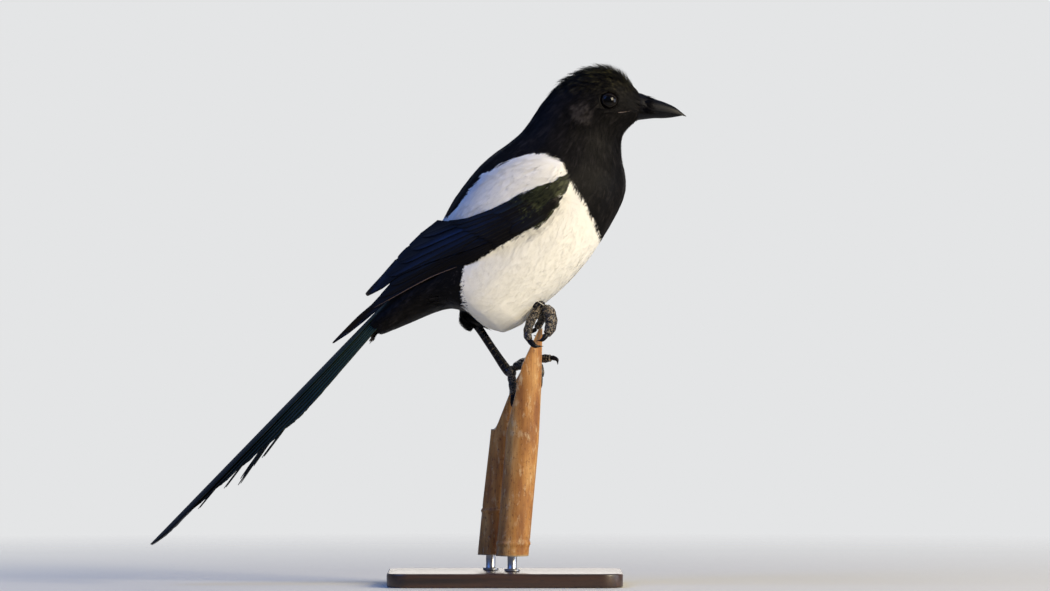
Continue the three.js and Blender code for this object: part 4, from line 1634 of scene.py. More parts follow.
@dataclass(frozen=True)
class Vane:
    """One quill feather as a closed thin plate: a shaft with a vane of barbs on either side.

    Its surface gives places in metres for distances along and across and for a height. The outer vane lies
    on the side of falling distance across, and the feather falls away under its neighbour towards the inner
    vane.
    """

    surface: Callable[[Array, Array, Array], Array]
    shaft: Callable[[Array], Array]  # distance across, for each distance along
    start: float
    end: float
    outer: float
    inner: float
    tip: float = 8.0  # length over which the end is rounded
    slope: float = 0.09
    level: float = 0.0
    dip: float = 1.0  # how much deeper the root lies
    tone: float = 0.5
    ragged: float = 0.05
    limits: Callable[[Array], tuple[Array, Array]] | None = None  # least and most distance across
    rows: int = 44
    columns: tuple[float, ...] = (0.3, 0.55, 0.8, 1.0)  # shares of a vane's width, from shaft to edge
    quill: float = 0.4  # half the shaft's width at its root
    thick: Pair = (0.34, 0.1)  # at the shaft and at the edges

    def plate(self, rng: Rng) -> tuple[Array, Array, Array, Array]:
        """Builds the plate.

        Args:
            rng: The source of random numbers.

        Returns:
            Places, quads, the tone and the vane map, whose axes are millimetres across and along.
        """
        share = 1 - (1 - np.linspace(0, 1, self.rows)) ** 1.5
        along = self.start + (self.end - self.start) * share
        left = np.clip((self.end - along) / self.tip, 0, 1)
        width = np.sqrt(1 - (1 - left) ** 2.2) * (0.55 + 0.45 * smoothstep(0, 0.25, share)) + 0.012
        quill = self.quill * (1.08 - share)
        edges = 1 + self.ragged * rng.normal(0, 0.5, (2, self.rows)) * smoothstep(0.3, 1, share)
        fractions = np.array(self.columns)
        outer = -(width * self.outer * edges[0])[:, None] * fractions[None, ::-1]
        inner = (width * self.inner * edges[1])[:, None] * fractions[None]
        middle = quill[:, None] * np.array([-1.0, 0.0, 1.0]) * np.minimum(1, width * 3)[:, None]
        across = np.concatenate([outer, middle, inner], axis=1)
        ridge = np.zeros(across.shape[1])
        ridge[len(fractions) + 1] = 1
        body = 1 - np.minimum(1, np.abs(across) / np.maximum(self.outer, self.inner))
        top = self.level - self.slope * (across + self.outer) + 0.16 * ridge * (1.15 - share)[:, None]
        top = top - self.dip * (1 - smoothstep(0, 0.22, share))[:, None]
        deep = self.thick[1] + (self.thick[0] - self.thick[1]) * body**2
        lateral = self.shaft(along)[:, None] + across
        if self.limits:
            low, high = self.limits(along)
            squeeze = 0.02 * (lateral - lateral.mean(1, keepdims=True))
            lateral = np.clip(lateral, low[:, None], high[:, None]) + squeeze
        stretched = np.broadcast_to(along[:, None], lateral.shape)
        faces = [self.surface(stretched, lateral, height) for height in (top, top - deep)]
        points = np.stack(faces).reshape(-1, 3)
        flat = np.stack([across, stretched], axis=-1)
        vane_map = np.tile(flat.reshape(-1, 2), (2, 1))
        return points, self._quads(across.shape), np.full(len(points), self.tone), vane_map

    @staticmethod
    def _quads(shape: tuple[int, ...]) -> Array:
        """Quads over the top, the underside and the rim of two stacked grids."""
        grid = np.arange(shape[0] * shape[1]).reshape(shape)
        under = grid + grid.size
        top = np.stack([grid[:-1, :-1], grid[:-1, 1:], grid[1:, 1:], grid[1:, :-1]], axis=-1)
        low = np.stack([under[:-1, :-1], under[1:, :-1], under[1:, 1:], under[:-1, 1:]], axis=-1)
        rim = np.concatenate([grid[0], grid[1:, -1], grid[-1, -2::-1], grid[-2:0:-1, 0]])
        rim_low = rim + grid.size
        wall = np.stack([np.roll(rim, -1), rim, rim_low, np.roll(rim_low, -1)], axis=-1)
        return np.concatenate([top.reshape(-1, 4), low.reshape(-1, 4), wall])


def vanes_mesh(vanes: Sequence[Vane], hue: Callable[[Array], Array], rng: Rng) -> Mesh:
    """Several feathers as one mesh.

    Args:
        vanes: The feathers.
        hue: The gloss colour's place on its finish's stops, for places in metres.
        rng: The source of random numbers.

    Returns:
        The mesh.
    """
    plates = [vane.plate(rng) for vane in vanes]
    starts = np.cumsum([0] + [len(plate[0]) for plate in plates[:-1]])
    quads = np.concatenate([plate[1] + start for plate, start in zip(plates, starts)])
    points, tones, flats = (np.concatenate([plate[k] for plate in plates]) for k in (0, 2, 3))
    mesh = mesh_of(points, [quads], {"tone": tones, "hue": hue(points)}, {VANE_MAP: flats})
    made = bmesh.new()
    made.from_mesh(mesh)
    bmesh.ops.recalc_face_normals(made, faces=made.faces)
    made.to_mesh(mesh)
    made.free()
    return mesh


@dataclass(frozen=True)
class QuillRow:
    """A row of like feathers on the folded wing, from the back's side down to the lower edge."""

    name: str
    tips: tuple[float, ...]  # s of each feather's tip
    length: float
    outer: float
    inner: float
    band: Pair = (0.9, 0.08)  # the first and last feather's share of the way from low edge to top
    level: float = 0.0
    sink: float = 0.03  # how much lower each feather lies than the one before
    tip: float = 8.0
    tones: Pair = (0.1, 0.9)
    low: Table = WingPlane.low
    top: Table = WingPlane.top

    def _across(self, s: Any, share: float) -> Any:
        """Distance across the wing, at a share of the way from the row's low edge to its top."""
        return reading(self.low, s) * (1 - share) + reading(self.top, s) * share

    def vanes(self, surface: WingSurface, rng: Rng) -> list[Vane]:
        """The row's feathers on one wing, each with a straight shaft.

        Args:
            surface: The wing's outer face.
            rng: The source of random numbers.

        Returns:
            The feathers, from the uppermost down.
        """
        made = []
        for k, tip in enumerate(self.tips):
            share = self.band[0] + (self.band[1] - self.band[0]) * k / (len(self.tips) - 1)
            ends = (tip - self.length, tip)
            heights = [float(self._across(s, share)) for s in ends]
            made.append(
                Vane(
                    surface=surface.at,
                    shaft=lambda s, ends=ends, heights=heights: np.interp(s, ends, heights),
                    limits=lambda s: (reading(self.low, s), reading(self.top, s)),
                    start=tip - self.length, end=tip, outer=self.outer, inner=self.inner, tip=self.tip,
                    level=self.level - self.sink * k, tone=float(np.clip(rng.uniform(*self.tones), 0, 1)),
                )
            )
        return made


SECONDARIES = QuillRow(
    name="wing_secondaries", tips=(100.0, 110.0, 121.0, 132.0, 142.0, 150.0, 146.0, 141.0, 136.0),
    length=84.0, outer=3.0, inner=7.0, band=(0.93, 0.1), tones=(0.0, 0.7),
    low=((30.0, -8.0), (60.4, -5.5), (79.4, -1.0), (104.8, 7.2), (126.3, 11.6), (140.0, 11.0), (150.0, 12.2)),
    top=(
        (11.6, 3.0), (31.4, 7.4), (52.2, 10.8), (60.4, 13.0), (68.7, 15.6), (76.3, 19.6), (81.0, 22.6),
        (86.0, 26.6), (99.5, 26.0), (115.8, 23.1), (133.4, 18.3), (142.0, 16.0), (150.0, 13.9),
    ),
)
PRIMARIES = QuillRow(
    name="wing_primaries", tips=(134.0, 143.0, 152.0, 162.0, 174.0, 185.0, 182.0, 160.0), length=112.0,
    outer=2.0, inner=6.0, band=(0.86, 0.14), level=-0.3, tip=14.0, tones=(0.55, 1.0),
    low=(
        (60.4, -9.5), (81.2, -8.5), (93.3, -5.0), (110.0, -1.2), (123.0, 1.4), (140.8, 2.2), (150.3, 1.5),
        (161.0, 0.4), (173.6, -0.4), (185.0, -0.3),
    ),
    top=(
        (60.4, -6.0), (79.4, -1.5), (104.8, 6.7), (126.3, 12.4), (131.5, 11.4), (142.8, 8.4),
        (151.5, 6.1), (161.9, 4.6), (174.8, 2.2), (185.0, 0.3),
    ),
)
GREATER = QuillRow(
    name="greater_coverts", tips=(80.0, 78.0, 76.0, 74.0, 72.0, 70.0, 68.0, 66.0, 65.0, 66.0),
    length=34.0, outer=2.8, inner=4.6, band=(0.93, 0.06), level=0.35, tip=6.0, tones=(0.3, 0.9),
)
MEDIAN = QuillRow(
    name="median_coverts", tips=(54.0, 52.5, 51.0, 50.0, 49.0, 48.0, 47.0), length=24.0, outer=3.0,
    inner=3.8, band=(0.9, 0.06), level=0.6, tip=6.0, tones=(0.1, 0.8),
)
ALULA = QuillRow(
    name="alula", tips=(52.0, 47.0, 42.0), length=30.0, outer=1.8, inner=3.4, band=(0.13, 0.03),
    level=0.9, tip=7.0, tones=(0.2, 0.7),
)


@dataclass(frozen=True)
class FoldedWings:
    """The stiff feathers of both folded wings."""

    plane: WingPlane = WingPlane()
    rows: tuple[QuillRow, ...] = (SECONDARIES, PRIMARIES, GREATER, MEDIAN, ALULA)
    # [s, t, height] along the bare shaft
    shaft: Table = (
        (92.0, -5.4, 0.5), (108.0, -1.6, 0.5), (123.0, 0.4, 0.5), (137.0, 1.8, 0.5), (151.0, 3.4, 0.5),
    )
    shaft_radius: float = 0.26

    def build(self, frame: dict[str, Any], rng: Rng) -> None:
        """Builds the feathers row by row.

        Args:
            frame: The loaded frame.
            rng: The source of random numbers.
        """
        slots = {"wing_secondaries": Slot.BLUE, "wing_primaries": Slot.BLACK}
        for side in Side:
            surface = WingSurface(frame, side, self.plane)
            self._edge_shaft(surface)
            for row in self.rows:
                name = f"{row.name}_{side.word}"
                nodes = [name] if name in frame["nodes"] else []
                mesh = vanes_mesh(row.vanes(surface, rng), self.plane.hue, rng)
                slot = slots.get(row.name, Slot.GREEN)
                piece_of(f"{name}_vanes", mesh, QuillPlumage("wing_quills"), slot, nodes)

    def _edge_shaft(self, surface: WingSurface) -> None:
        """The bare, paler shaft that shows along the lower edge of the primaries."""
        rows = np.array(self.shaft)
        spots = surface.at(rows[:, 0], rows[:, 1], rows[:, 2]) / MM
        line = Path([[*spot, self.shaft_radius] for spot in spots.tolist()])

        def taper(v: float) -> float:
            return math.sqrt(max(0.0, 1 - (2 * v - 1) ** 2)) * (1.2 - 0.6 * v)

        made = line.tube(8, 60, (0.0, 1.0, 0.0), taper)
        finish = BareSkin("bare_shaft", "#8a7466", "#4c3a30")
        piece_of(f"primary_shaft_{surface.side.word}", mesh_from(made), finish, Slot.BLACK)


@dataclass(frozen=True)
class SoftPatch:
    """An area of the body whose soft feathers lie in their own way."""

    name: str
    area: Callable[[Array, Array], Array]  # whether X, Y, Z in millimetres and the normals there belong to it
    heading: Triple
    finish: Finish
    slot: Slot
    gap: float
    length: float
    spread: float
    blade: float
    lift: float
    scatter: float = 5.0  # degrees
    white: float | None = None
    shape: TuftShape = TuftShape()
    ends: Pair = (0.85, 1.15)  # least and most share of the length
    outline: Table = ()  # X and Z the tips stay in

    def dress(
        self, spots: tuple[Array, Array], ground: Ground, lie: Lie, markings: Markings, rng: Rng
    ) -> None:
        """Lays the patch's tufts, a piece for each side.

        Args:
            spots: Candidate roots on the skin and the normals there.
            ground: What the tufts follow.
            lie: The lie of the body's feathers, for its unwrap.
            markings: The plumage's markings.
            rng: The source of random numbers.
        """
        heading = unit(np.array(self.heading))
        coat = Coat(ground, lambda points: np.tile(heading, (len(points), 1)), markings, self.shape)
        chosen = self.area(spots[0] / MM, spots[1])
        for side in Side:
            near = np.flatnonzero(chosen & (np.sign(spots[0][:, 1]) == side.value))
            if not len(near):
                continue
            near = near[scattered(spots[0][near], np.full(len(near), self.gap * MM), rng)]
            count, roots = len(near), spots[0][near]
            lengths = self.length * rng.uniform(*self.ends, count) * MM
            field = TuftField(
                roots=roots,
                normals=spots[1][near],
                unwrapped=lie.unwrap(roots),
                length=self._kept_in(roots, heading, lengths),
                spread=self.spread * rng.uniform(0.8, 1.2, count) * MM,
                blade=np.full(count, self.blade * MM),
                lift=self.lift * rng.uniform(0.88, 1.12, count) * MM,
                scatter=np.full(count, math.radians(self.scatter)),
                white=self.white,
            )
            piece_of(f"coat_{self.name}_{side.word}", coat.lay(field, rng), self.finish, self.slot)

    def _kept_in(self, roots: Array, heading: Array, lengths: Array) -> Array:
        """The lengths, shortened where a tip would leave the outline."""
        if not self.outline:
            return lengths
        for _ in range(6):
            tips = (roots + heading * lengths[:, None])[:, [0, 2]] / MM
            lengths = np.where(inside_distance(tips, self.outline) < -0.7, 0.8 * lengths, lengths)
        return lengths


@dataclass(frozen=True)
class SoftPatches:
    """Where the soft feathers of the bill's base, shoulder, wrist, bared thigh and tail's base grow."""

    plane: WingPlane = WingPlane()
    markings: Markings = Markings()
    nose: Triple = (74.5, 304.6, 88.5)  # least X, least Z and most X
    thigh: Four = (-23.0, 23.0, 168.0, 12.5)  # centre and radius
    thigh_top: float = 175.5
    rump: Triple = (-52.0, -240.5, -80.0)  # most X, most X less Z, and least X
    vent: Triple = (-83.0, -71.0, 174.0)  # least X, most X and most Z

    def on_nose(self, points: Array) -> Array:
        """Whether points are at the bill's base, where bristles lie forward."""
        least, low, most = self.nose
        slope = least + 0.6 * (points[:, 2] - low)
        return (points[:, 0] > np.minimum(slope, 78.5)) & (points[:, 2] > low) & (points[:, 0] < most)

    def on_thigh(self, points: Array) -> Array:
        """Whether points are on the bared lower thigh of the leg that stands."""
        reach = np.linalg.norm(points - np.array(self.thigh[:3]), axis=1)
        return (reach < self.thigh[3]) & (points[:, 2] < self.thigh_top)

    def on_rump(self, points: Array) -> Array:
        """Whether points are on the tail's base."""
        most, slant, least = self.rump
        return (points[:, 0] < most) & (points[:, 0] - points[:, 2] < slant) & (points[:, 0] > least)

    def on_vent(self, points: Array) -> Array:
        """Whether points are on the end of the body under the tail."""
        return (points[:, 0] > self.vent[0]) & (points[:, 0] < self.vent[1]) & (points[:, 2] < self.vent[2])

    def on_shoulder(self, points: Array, margin: float = -0.6) -> Array:
        """Whether points are in the white shoulder patch."""
        return inside_distance(points[:, [0, 2]], self.markings.shoulder) > margin

    def on_wrist(self, points: Array, first: float, last: float, below: float, above: float) -> Array:
        """Whether points are on a stretch of the folded wing.

        Args:
            points: X, Y and Z in millimetres.
            first: Least distance from the wrist.
            last: Most distance from the wrist.
            below: Least distance above the wing's low edge.
            above: Most distance above its low edge, where 100 stands for all the way to its top edge.

        Returns:
            True for each point on it.
        """
        s, t = self.plane.flat(points * MM).T
        low, top = reading(self.plane.low, s), reading(self.plane.top, s)
        return (s > first) & (s < last) & (t > low + below) & (t < np.minimum(top + 0.5, low + above))

    def patches(self) -> tuple[SoftPatch, ...]:
        """The patches, from the bill back."""
        plumage = BodyPlumage("contour_feathers")
        along, across = np.array(self.plane.along), np.array(self.plane.across)

        def lying(turn: float) -> Triple:
            x, z = along + turn * across
            return (float(x), 0.0, float(z))

        return (
            SoftPatch(
                "nose", lambda p, n: self.on_nose(p), (1.0, 0.0, -0.3), plumage, Slot.BLACK,
                gap=0.66, length=10.5, spread=0.7, blade=0.13, lift=1.0, white=0.0, shape=TuftShape(8),
            ),
            SoftPatch(
                "shoulder", lambda p, n: self.on_shoulder(p), (-0.78, 0.0, -0.62), plumage, Slot.WHITE,
                gap=1.7, length=15.0, spread=2.4, blade=0.24, lift=0.9, outline=self.markings.shoulder,
            ),
            SoftPatch(
                "wrist", lambda p, n: self.on_wrist(p, -1.5, 34.0, -0.8, 100.0) & (np.abs(n[:, 1]) > 0.05),
                lying(-0.05), CovertPlumage("wrist_coverts"), Slot.GREEN,
                gap=1.1, length=8.5, spread=1.7, blade=0.26, lift=2.0, white=0.0,
            ),
            SoftPatch(
                "wing_edge", lambda p, n: self.on_wrist(p, 5.0, 40.0, -6.5, -1.5) & (np.abs(n[:, 1]) > 0.1),
                lying(0.1), plumage, Slot.WHITE,
                gap=2.2, length=9.0, spread=2.0, blade=0.2, lift=1.9, scatter=7.0, white=1.0,
            ),
            SoftPatch(
                "rump", lambda p, n: self.on_rump(p), (-0.697, 0.0, -0.717), plumage, Slot.BLACK,
                gap=1.9, length=9.0, spread=2.2, blade=0.3, lift=0.6, scatter=3.0, white=0.0,
            ),
            SoftPatch(
                "vent", lambda p, n: self.on_vent(p) & (n[:, 2] < 0.3), (-0.9, 0.0, -0.43),
                plumage, Slot.BLACK,
                gap=1.0, length=9.0, spread=2.4, blade=0.34, lift=0.3, scatter=4.0, white=0.0,
            ),
            SoftPatch(
                "boot", lambda p, n: self.on_thigh(p), (0.7, 0.0, -0.71), plumage, Slot.BLACK,
                gap=1.1, length=8.5, spread=1.5, blade=0.2, lift=2.0, scatter=10.0, white=0.0,
            ),
        )

    def dress(self, skin: Mesh, ground: Ground, lie: Lie, rng: Rng, candidates: int = 120000) -> None:
        """Lays every patch.

        Args:
            skin: The skin's mesh, with the bill and the tail.
            ground: What the tufts follow.
            lie: The lie of the body's feathers.
            rng: The source of random numbers.
            candidates: How many spots the roots are picked from.
        """
        spots = spots_on(skin, candidates, rng)
        for patch in self.patches():
            patch.dress(spots, ground, lie, self.markings, rng)


@dataclass(frozen=True)
class Tail:
    """The long stepped tail: layers of feathers under an arched surface, the middle pair on top."""

    root: Pair = (-89.0, 168.3)
    along: Pair = (-0.697, -0.717)
    up: Pair = (-0.717, 0.697)
    start: float = -34.0  # before the root, so that the vanes begin under the wing tips
    pitch: float = 0.5  # from one layer of feathers to the next
    droop: float = 0.0022  # how the layers part towards the tip
    arch: float = 0.02
    tones: Pair = (0.1, 0.35)
    # [length, shaft's distance from the middle, inner vane, outer vane, layer right, layer left]
    pairs: Table = (
        (198, 2.0, 10.0, 10.0, 0, 0.7), (168, 4.0, 3.6, 8.4, 2, 2), (148, 6.2, 5.8, 8.0, 3, 3),
        (129, 8.4, 7.8, 7.6, 4, 4), (110, 10.6, 8.8, 7.2, 5, 5), (90, 12.8, 9.2, 6.6, 6, 6),
    )
    # [start, end, distance from the middle at the start and at the end, layer] of barbs that hang loose
    strands: Table = (
        (92, 131, 15.0, 22.6, 5), (100, 127, 15.0, 20.6, 5), (96, 117, 16.0, 20.4, 5.4),
        (84, 108, 17.0, 20.6, 6), (118, 139, 13.4, 17.2, 4), (136, 160, 11.0, 14.4, 2.6),
    )

    def build(self, rng: Rng) -> None:
        """Builds the twelve feathers, a piece for each side.

        Args:
            rng: The source of random numbers.
        """
        # the first, lighter green stop is the real green gloss lightened as a painted highlight
        stops = ((0.0, "#37452f"), (0.3, "#1f2e24"), (0.7, "#131614"), (1.0, "#0f0e0e"))
        finish = QuillPlumage("tail_quills", stops, light="#474c3f", slant=1.2, barb=0.9, inner=0.0)
        hue = self._hue
        for side in Side:
            vanes = []
            for length, shaft, inner, outer, layer_right, layer_left in self.pairs:
                layer = layer_right if side is Side.RIGHT else layer_left
                vanes.append(
                    Vane(
                        surface=self._surface(side, layer),
                        shaft=lambda a, shaft=shaft: -shaft * (0.7 + 0.3 * np.minimum(1, np.abs(a) / 60)),
                        start=self.start, end=float(length), outer=outer, inner=inner, tip=22.0,
                        tone=float(rng.uniform(*self.tones)),
                        slope=0.0, dip=0.0, rows=64, quill=0.7, thick=(0.55, 0.5),
                    )
                )
            for first, last, inside, outside, layer in self.strands:
                line = ((first, last), (-inside, -outside))
                vanes.append(
                    Vane(
                        surface=self._surface(side, layer),
                        shaft=lambda a, line=line: np.interp(a, *line),
                        start=first, end=last, outer=0.45, inner=0.45, tip=0.6 * (last - first),
                        slope=0.0, dip=0.0, rows=16, quill=0.15, thick=(0.3, 0.2),
                    )
                )
            nodes = [f"tail_feather_{side.word}_{k + 1}" for k in range(len(self.pairs))]
            piece_of(f"tail_vanes_{side.word}", vanes_mesh(vanes, hue, rng), finish, Slot.GREEN, nodes)

    def _hue(self, points: Array) -> Array:
        """Green at the tail's base, where the lighter green is partly a painted highlight, to black at its end.
        """
        away = points[:, [0, 2]] / MM - np.array(self.root)
        return np.clip(away @ np.array(self.along) / max(pair[0] for pair in self.pairs), 0, 1)

    def _surface(self, side: Side, layer: float) -> Callable[[Array, Array, Array], Array]:
        """The arched surface of one layer: places for distances along, across and up."""

        def place(along: Array, across: Array, height: Array) -> Array:
            fall = self.arch * across**2 + layer * (self.pitch + self.droop * along)
            rise = height - fall
            x = self.root[0] + self.along[0] * along + self.up[0] * rise
            z = self.root[1] + self.along[1] * along + self.up[1] * rise
            return np.stack([x, -side.value * across, z], axis=-1) * MM

        return place


# Head


@dataclass(frozen=True)
class Eyes:
    """Eyeballs and the bare rims of their lids."""

    centre: Triple = (65.9, 12.4, 309.6)
    radius: float = 6.0
    opening: Pair = (4.35, 3.35)  # half width and half height
    pull: float = 0.35  # how far the front corner reaches towards the bill
    rim: Pair = (0.34, 0.24)  # half width and half thickness
    look: Triple = (0.16, 1.0, 0.03)  # the left eye's axis

    def build(self) -> None:
        """Builds both eyes."""
        for side in Side:
            centre = Vector((self.centre[0], side.value * self.centre[1], self.centre[2]))
            ball = bmesh.new()
            place = Matrix.Translation(centre * MM) @ Matrix.Rotation(math.pi / 2, 4, "X")
            size = self.radius * MM
            bmesh.ops.create_uvsphere(ball, u_segments=48, v_segments=28, radius=size, matrix=place)
            name = f"eye_{side.word}"
            piece_of(f"{name}_ball", mesh_from(ball), WetEye("wet_eye"), Slot.EYE, [name])
            bare = BareSkin("lid_skin", "#231f1a", "#0e0c0b")
            piece_of(f"{name}_lid", mesh_from(self._lid(centre, side)), bare, Slot.BLACK)

    def _lid(self, centre: Vector, side: Side) -> BMesh:
        """The lids' rim, a flattened ring that lies on the eyeball."""
        axis = Vector((self.look[0], side.value * self.look[1], self.look[2])).normalized()
        ahead = Vector((1, 0, -0.1))
        ahead = (ahead - axis * ahead.dot(axis)).normalized()
        up = axis.cross(ahead) * side.value * -1
        if up.z < 0:
            up = -up

        def place(u: float, v: float) -> Vector:
            turn, round_rim = 2 * math.pi * v, 2 * math.pi * u
            flat = ahead * (math.cos(turn) * (self.opening[0] + self.pull * math.cos(turn)))
            flat += up * (math.sin(turn) * self.opening[1])
            outward = flat.normalized()
            wrinkle = 1 + 0.08 * math.sin(17 * turn) + 0.06 * math.sin(41 * turn)
            flat += outward * self.rim[0] * (1 + math.sin(round_rim) * wrinkle)
            height = math.sqrt(max((self.radius + 0.12) ** 2 - flat.length_squared, 0))
            return centre + flat + axis * (height + self.rim[1] * math.cos(round_rim))

        return lofted(14, 96, place)


@dataclass(frozen=True)
class Bill:
    """Upper and lower bill, each a smooth horny shell that ends in a point."""

    # [x, ridge z, mouth line z, keel z, half width]
    stations: Table = (
        (82.0, 315.9, 305.0, 297.2, 6.6), (87.4, 314.6, 304.4, 297.8, 6.2),
        (91.5, 312.9, 303.4, 298.3, 5.5), (96.0, 311.0, 302.9, 298.7, 4.8),
        (100.5, 309.6, 302.4, 298.7, 4.0), (105.2, 307.7, 301.8, 299.0, 3.1),
        (109.2, 305.6, 301.3, 299.6, 2.2), (112.4, 303.1, 300.9, 300.2, 1.3),
    )
    hook: Pair = (116.0, 299.9)
    fullness: float = 0.85
    gap: float = -0.3  # the lower bill's edge is just inside the upper one's

    def build(self) -> None:
        """Builds both halves."""
        finish = Horn("bill_horn")
        for name, upper in (("bill_upper", True), ("bill_lower", False)):
            piece_of(f"{name}_horn", mesh_from(self._half(upper)), finish, Slot.HORN, [name])

    def _half(self, upper: bool) -> BMesh:
        """One half as a closed shell."""
        rows = np.array(self.stations)
        end = [self.hook[0], self.hook[1] + 0.25, self.hook[1], self.hook[1] - 0.05, 0.25]
        last = end if upper else [113.6, 301.4, 300.7, 300.45, 0.5]
        rows = np.vstack([rows[:1], rows, [last], [last]])
        count = len(rows) - 3

        def place(u: float, v: float) -> Triple:
            share = min(max((v - 0.02) / 0.96, 0), 1)
            x, ridge, mouth, keel, half = curve_at(rows, min(share * count, count - 1e-6))
            size = min(1.0, v / 0.02, (1 - v) / 0.02)
            edge = mouth + (self.gap / 2 if upper else -self.gap / 2)
            height = (ridge if upper else keel) - edge
            half *= 1.0 if upper else 0.95
            if u < 0.75:
                angle = math.pi * u / 0.75
                y = half * math.cos(angle)
                z = edge + height * math.sin(angle) ** self.fullness
            else:
                y = half * (2 * (u - 0.75) / 0.25 - 1)
                z = edge
            middle = edge + height * 0.4
            return x, y * size, middle + (z - middle) * size

        return lofted(48, 90, place)


@dataclass(frozen=True)
class Gape:
    """The bare pale line at the corner of the mouth."""

    rows: Table = ((72.2, 302.1), (74.0, 302.3), (77.0, 302.7), (80.4, 303.4))
    radius: float = 0.21
    rise: float = 0.5  # above the skin

    def build(self, ground: Ground) -> None:
        """Lays the line on both cheeks.

        Args:
            ground: The skin.
        """

        def taper(v: float) -> float:
            return math.sqrt(max(1 - (2 * v - 0.9) ** 2 / 1.25, 0)) * (1.3 - 1.1 * v)

        for side in Side:
            starts = np.array([[x, side.value * 40.0, z] for x, z in self.rows]) * MM
            path = []
            for start in starts:
                hit, normal, _, _ = ground.tree.ray_cast(Vector(start), Vector((0, -side.value, 0)))
                path.append([*(hit / MM + normal * self.rise), self.radius])
            made = Path(path).tube(10, 30, (0.0, 1.0, 0.0), taper)
            finish = BareSkin("gape_skin", "#a3938b", "#5f504a")
            piece_of(f"gape_{side.word}", mesh_from(made), finish, Slot.HORN)


# Feet


@dataclass(frozen=True)
class Foot:
    """One foot: a scaly lower leg, four padded toes and four claws. Paths are rows of X, Y, Z and radius."""

    side: Side
    shank: Table
    toes: dict[str, Table]
    claws: dict[str, Table]
    shank_scute: float = 2.3  # length of a plate
    toe_scute: float = 1.35
    swell: float = 0.055  # how much a toe's pads stand out
    pad: float = 5.0  # from one joint's pad to the next

    def build(self) -> None:
        """Builds the leg with its toes as one piece, and each claw."""
        horn = Horn("claw_horn", rough=0.26)
        whole = bmesh.new()
        limbs = [(self.shank, self.shank_scute, 0.0)]
        limbs += [(path, self.toe_scute, self.swell) for path in self.toes.values()]
        for rows, scute, swell in limbs:
            whole.from_mesh(mesh_from(self._limb(Path(rows), scute, swell)))
        name = f"foot_{self.side.word}"
        piece_of(f"{name}_scales", mesh_from(whole), LegSkin("leg_skin"), Slot.LEG, [name])
        for toe, rows in self.claws.items():
            name = f"claw_{self.side.word}_{toe}"
            rows = ((*self.toes[toe][-1][:3], 0.9 * rows[0][3]), *rows)
            piece_of(f"{name}_horn", mesh_from(self._claw(rows)), horn, Slot.HORN, [name])

    def _limb(self, path: Path, scute: float, swell: float) -> BMesh:
        """A round limb with plates, pads and rounded ends."""
        length = path.length()
        around, steps = 22, max(24, int(length / 0.28))
        beside = np.array([0.3, 0.2, 1.0] if swell else [0.0, 1.0, 0.0])
        grooves: dict[Triple, float] = {}

        def place(u: float, v: float) -> Array:
            middle, across, up, radius = path.frame_at(v, beside)
            at, turn = v * length, 2 * math.pi * u
            phase = (at / scute + 0.08 * math.sin(3 * turn)) % 1.0
            groove = max(0.0, 1 - min(phase, 1 - phase) / (0.13 if swell else 0.07))
            radius *= 1 - (0.045 if swell else 0.02) * groove + swell * math.cos(2 * math.pi * at / self.pad)
            radius *= 1.14 if swell else 1.0
            radius *= math.sqrt(max(0.0, 1 - (1 - min(1, min(at, length - at) / (0.6 * radius))) ** 2))
            wide, flat = (1.0, 1.0) if swell else (1.2, 0.88)
            spot = middle + radius * (across * wide * math.cos(turn) + up * flat * math.sin(turn))
            grooves[tuple(np.round(spot, 3))] = groove
            return spot

        made = lofted(around, steps, place)
        note(made, "groove", grooves)
        pebbled = made.verts.layers.float.new("pebbled")
        for vertex in made.verts:
            vertex[pebbled] = 1.0 if swell else 0.0
        return made

    @staticmethod
    def _claw(rows: Rows) -> BMesh:
        """A curved horny claw that narrows to a point."""

        def taper(v: float) -> float:
            sharp = min(1.0, math.sqrt(v / 0.06)) * (1 - max(0.0, v - 0.7) / 0.3 * 0.75)
            return 0.0 if v > 0.999 else sharp

        return Path(rows).tube(14, 40, (0.3, 0.2, 1.0), taper, narrow=0.85)


RIGHT_FOOT = Foot(
    side=Side.RIGHT,
    shank=((6, -20, 189, 2.6), (16, -17, 183, 2.5), (24, -15, 177.2, 3.2)),
    toes={
        "hind": ((22.6, -16, 176.6, 2.7), (18.4, -19, 172.2, 2.6), (15.4, -22, 166.1, 2.5),
                 (14.4, -24, 160.4, 2.3), (15.8, -25.4, 156.8, 1.9)),
        "outer": ((24.6, -16.6, 177.4, 2.9), (27.4, -19.4, 174.6, 2.8), (28.6, -21.4, 169.4, 2.8),
                  (28.2, -22.6, 164.2, 2.6), (26.6, -23.8, 160.6, 2.1)),
        "middle": ((25.8, -12.6, 177.4, 2.9), (29.2, -11.4, 174.4, 2.8), (30.4, -9.2, 168.6, 2.7),
                   (29.2, -6.8, 163.4, 2.5), (26.6, -4.8, 160.4, 2.1)),
        "inner": ((24.2, -11.6, 177.0, 2.7), (24.4, -8.6, 175.4, 2.4), (24.0, -5.2, 171.6, 2.3),
                  (22.4, -3.2, 167.6, 2.1), (20.0, -2.4, 164.2, 1.8)),
    },
    claws={
        "hind": ((16.4, -25.8, 155.8, 1.9), (19.2, -26.8, 153.2, 1.4), (24.6, -26.2, 153, 0.35)),
        "outer": ((25.6, -24.4, 159.0, 1.7), (23.6, -25.6, 157, 1.2), (20.4, -26.2, 156.6, 0.35)),
        "middle": ((25.4, -4.2, 159.4, 1.6), (21.9, -2.6, 158.6, 1.1), (18.2, -2, 160, 0.35)),
        "inner": ((18.9, -2.2, 163.2, 1.4), (16.6, -3, 161.9, 1), (15.2, -5.2, 162.6, 0.35)),
    },
)
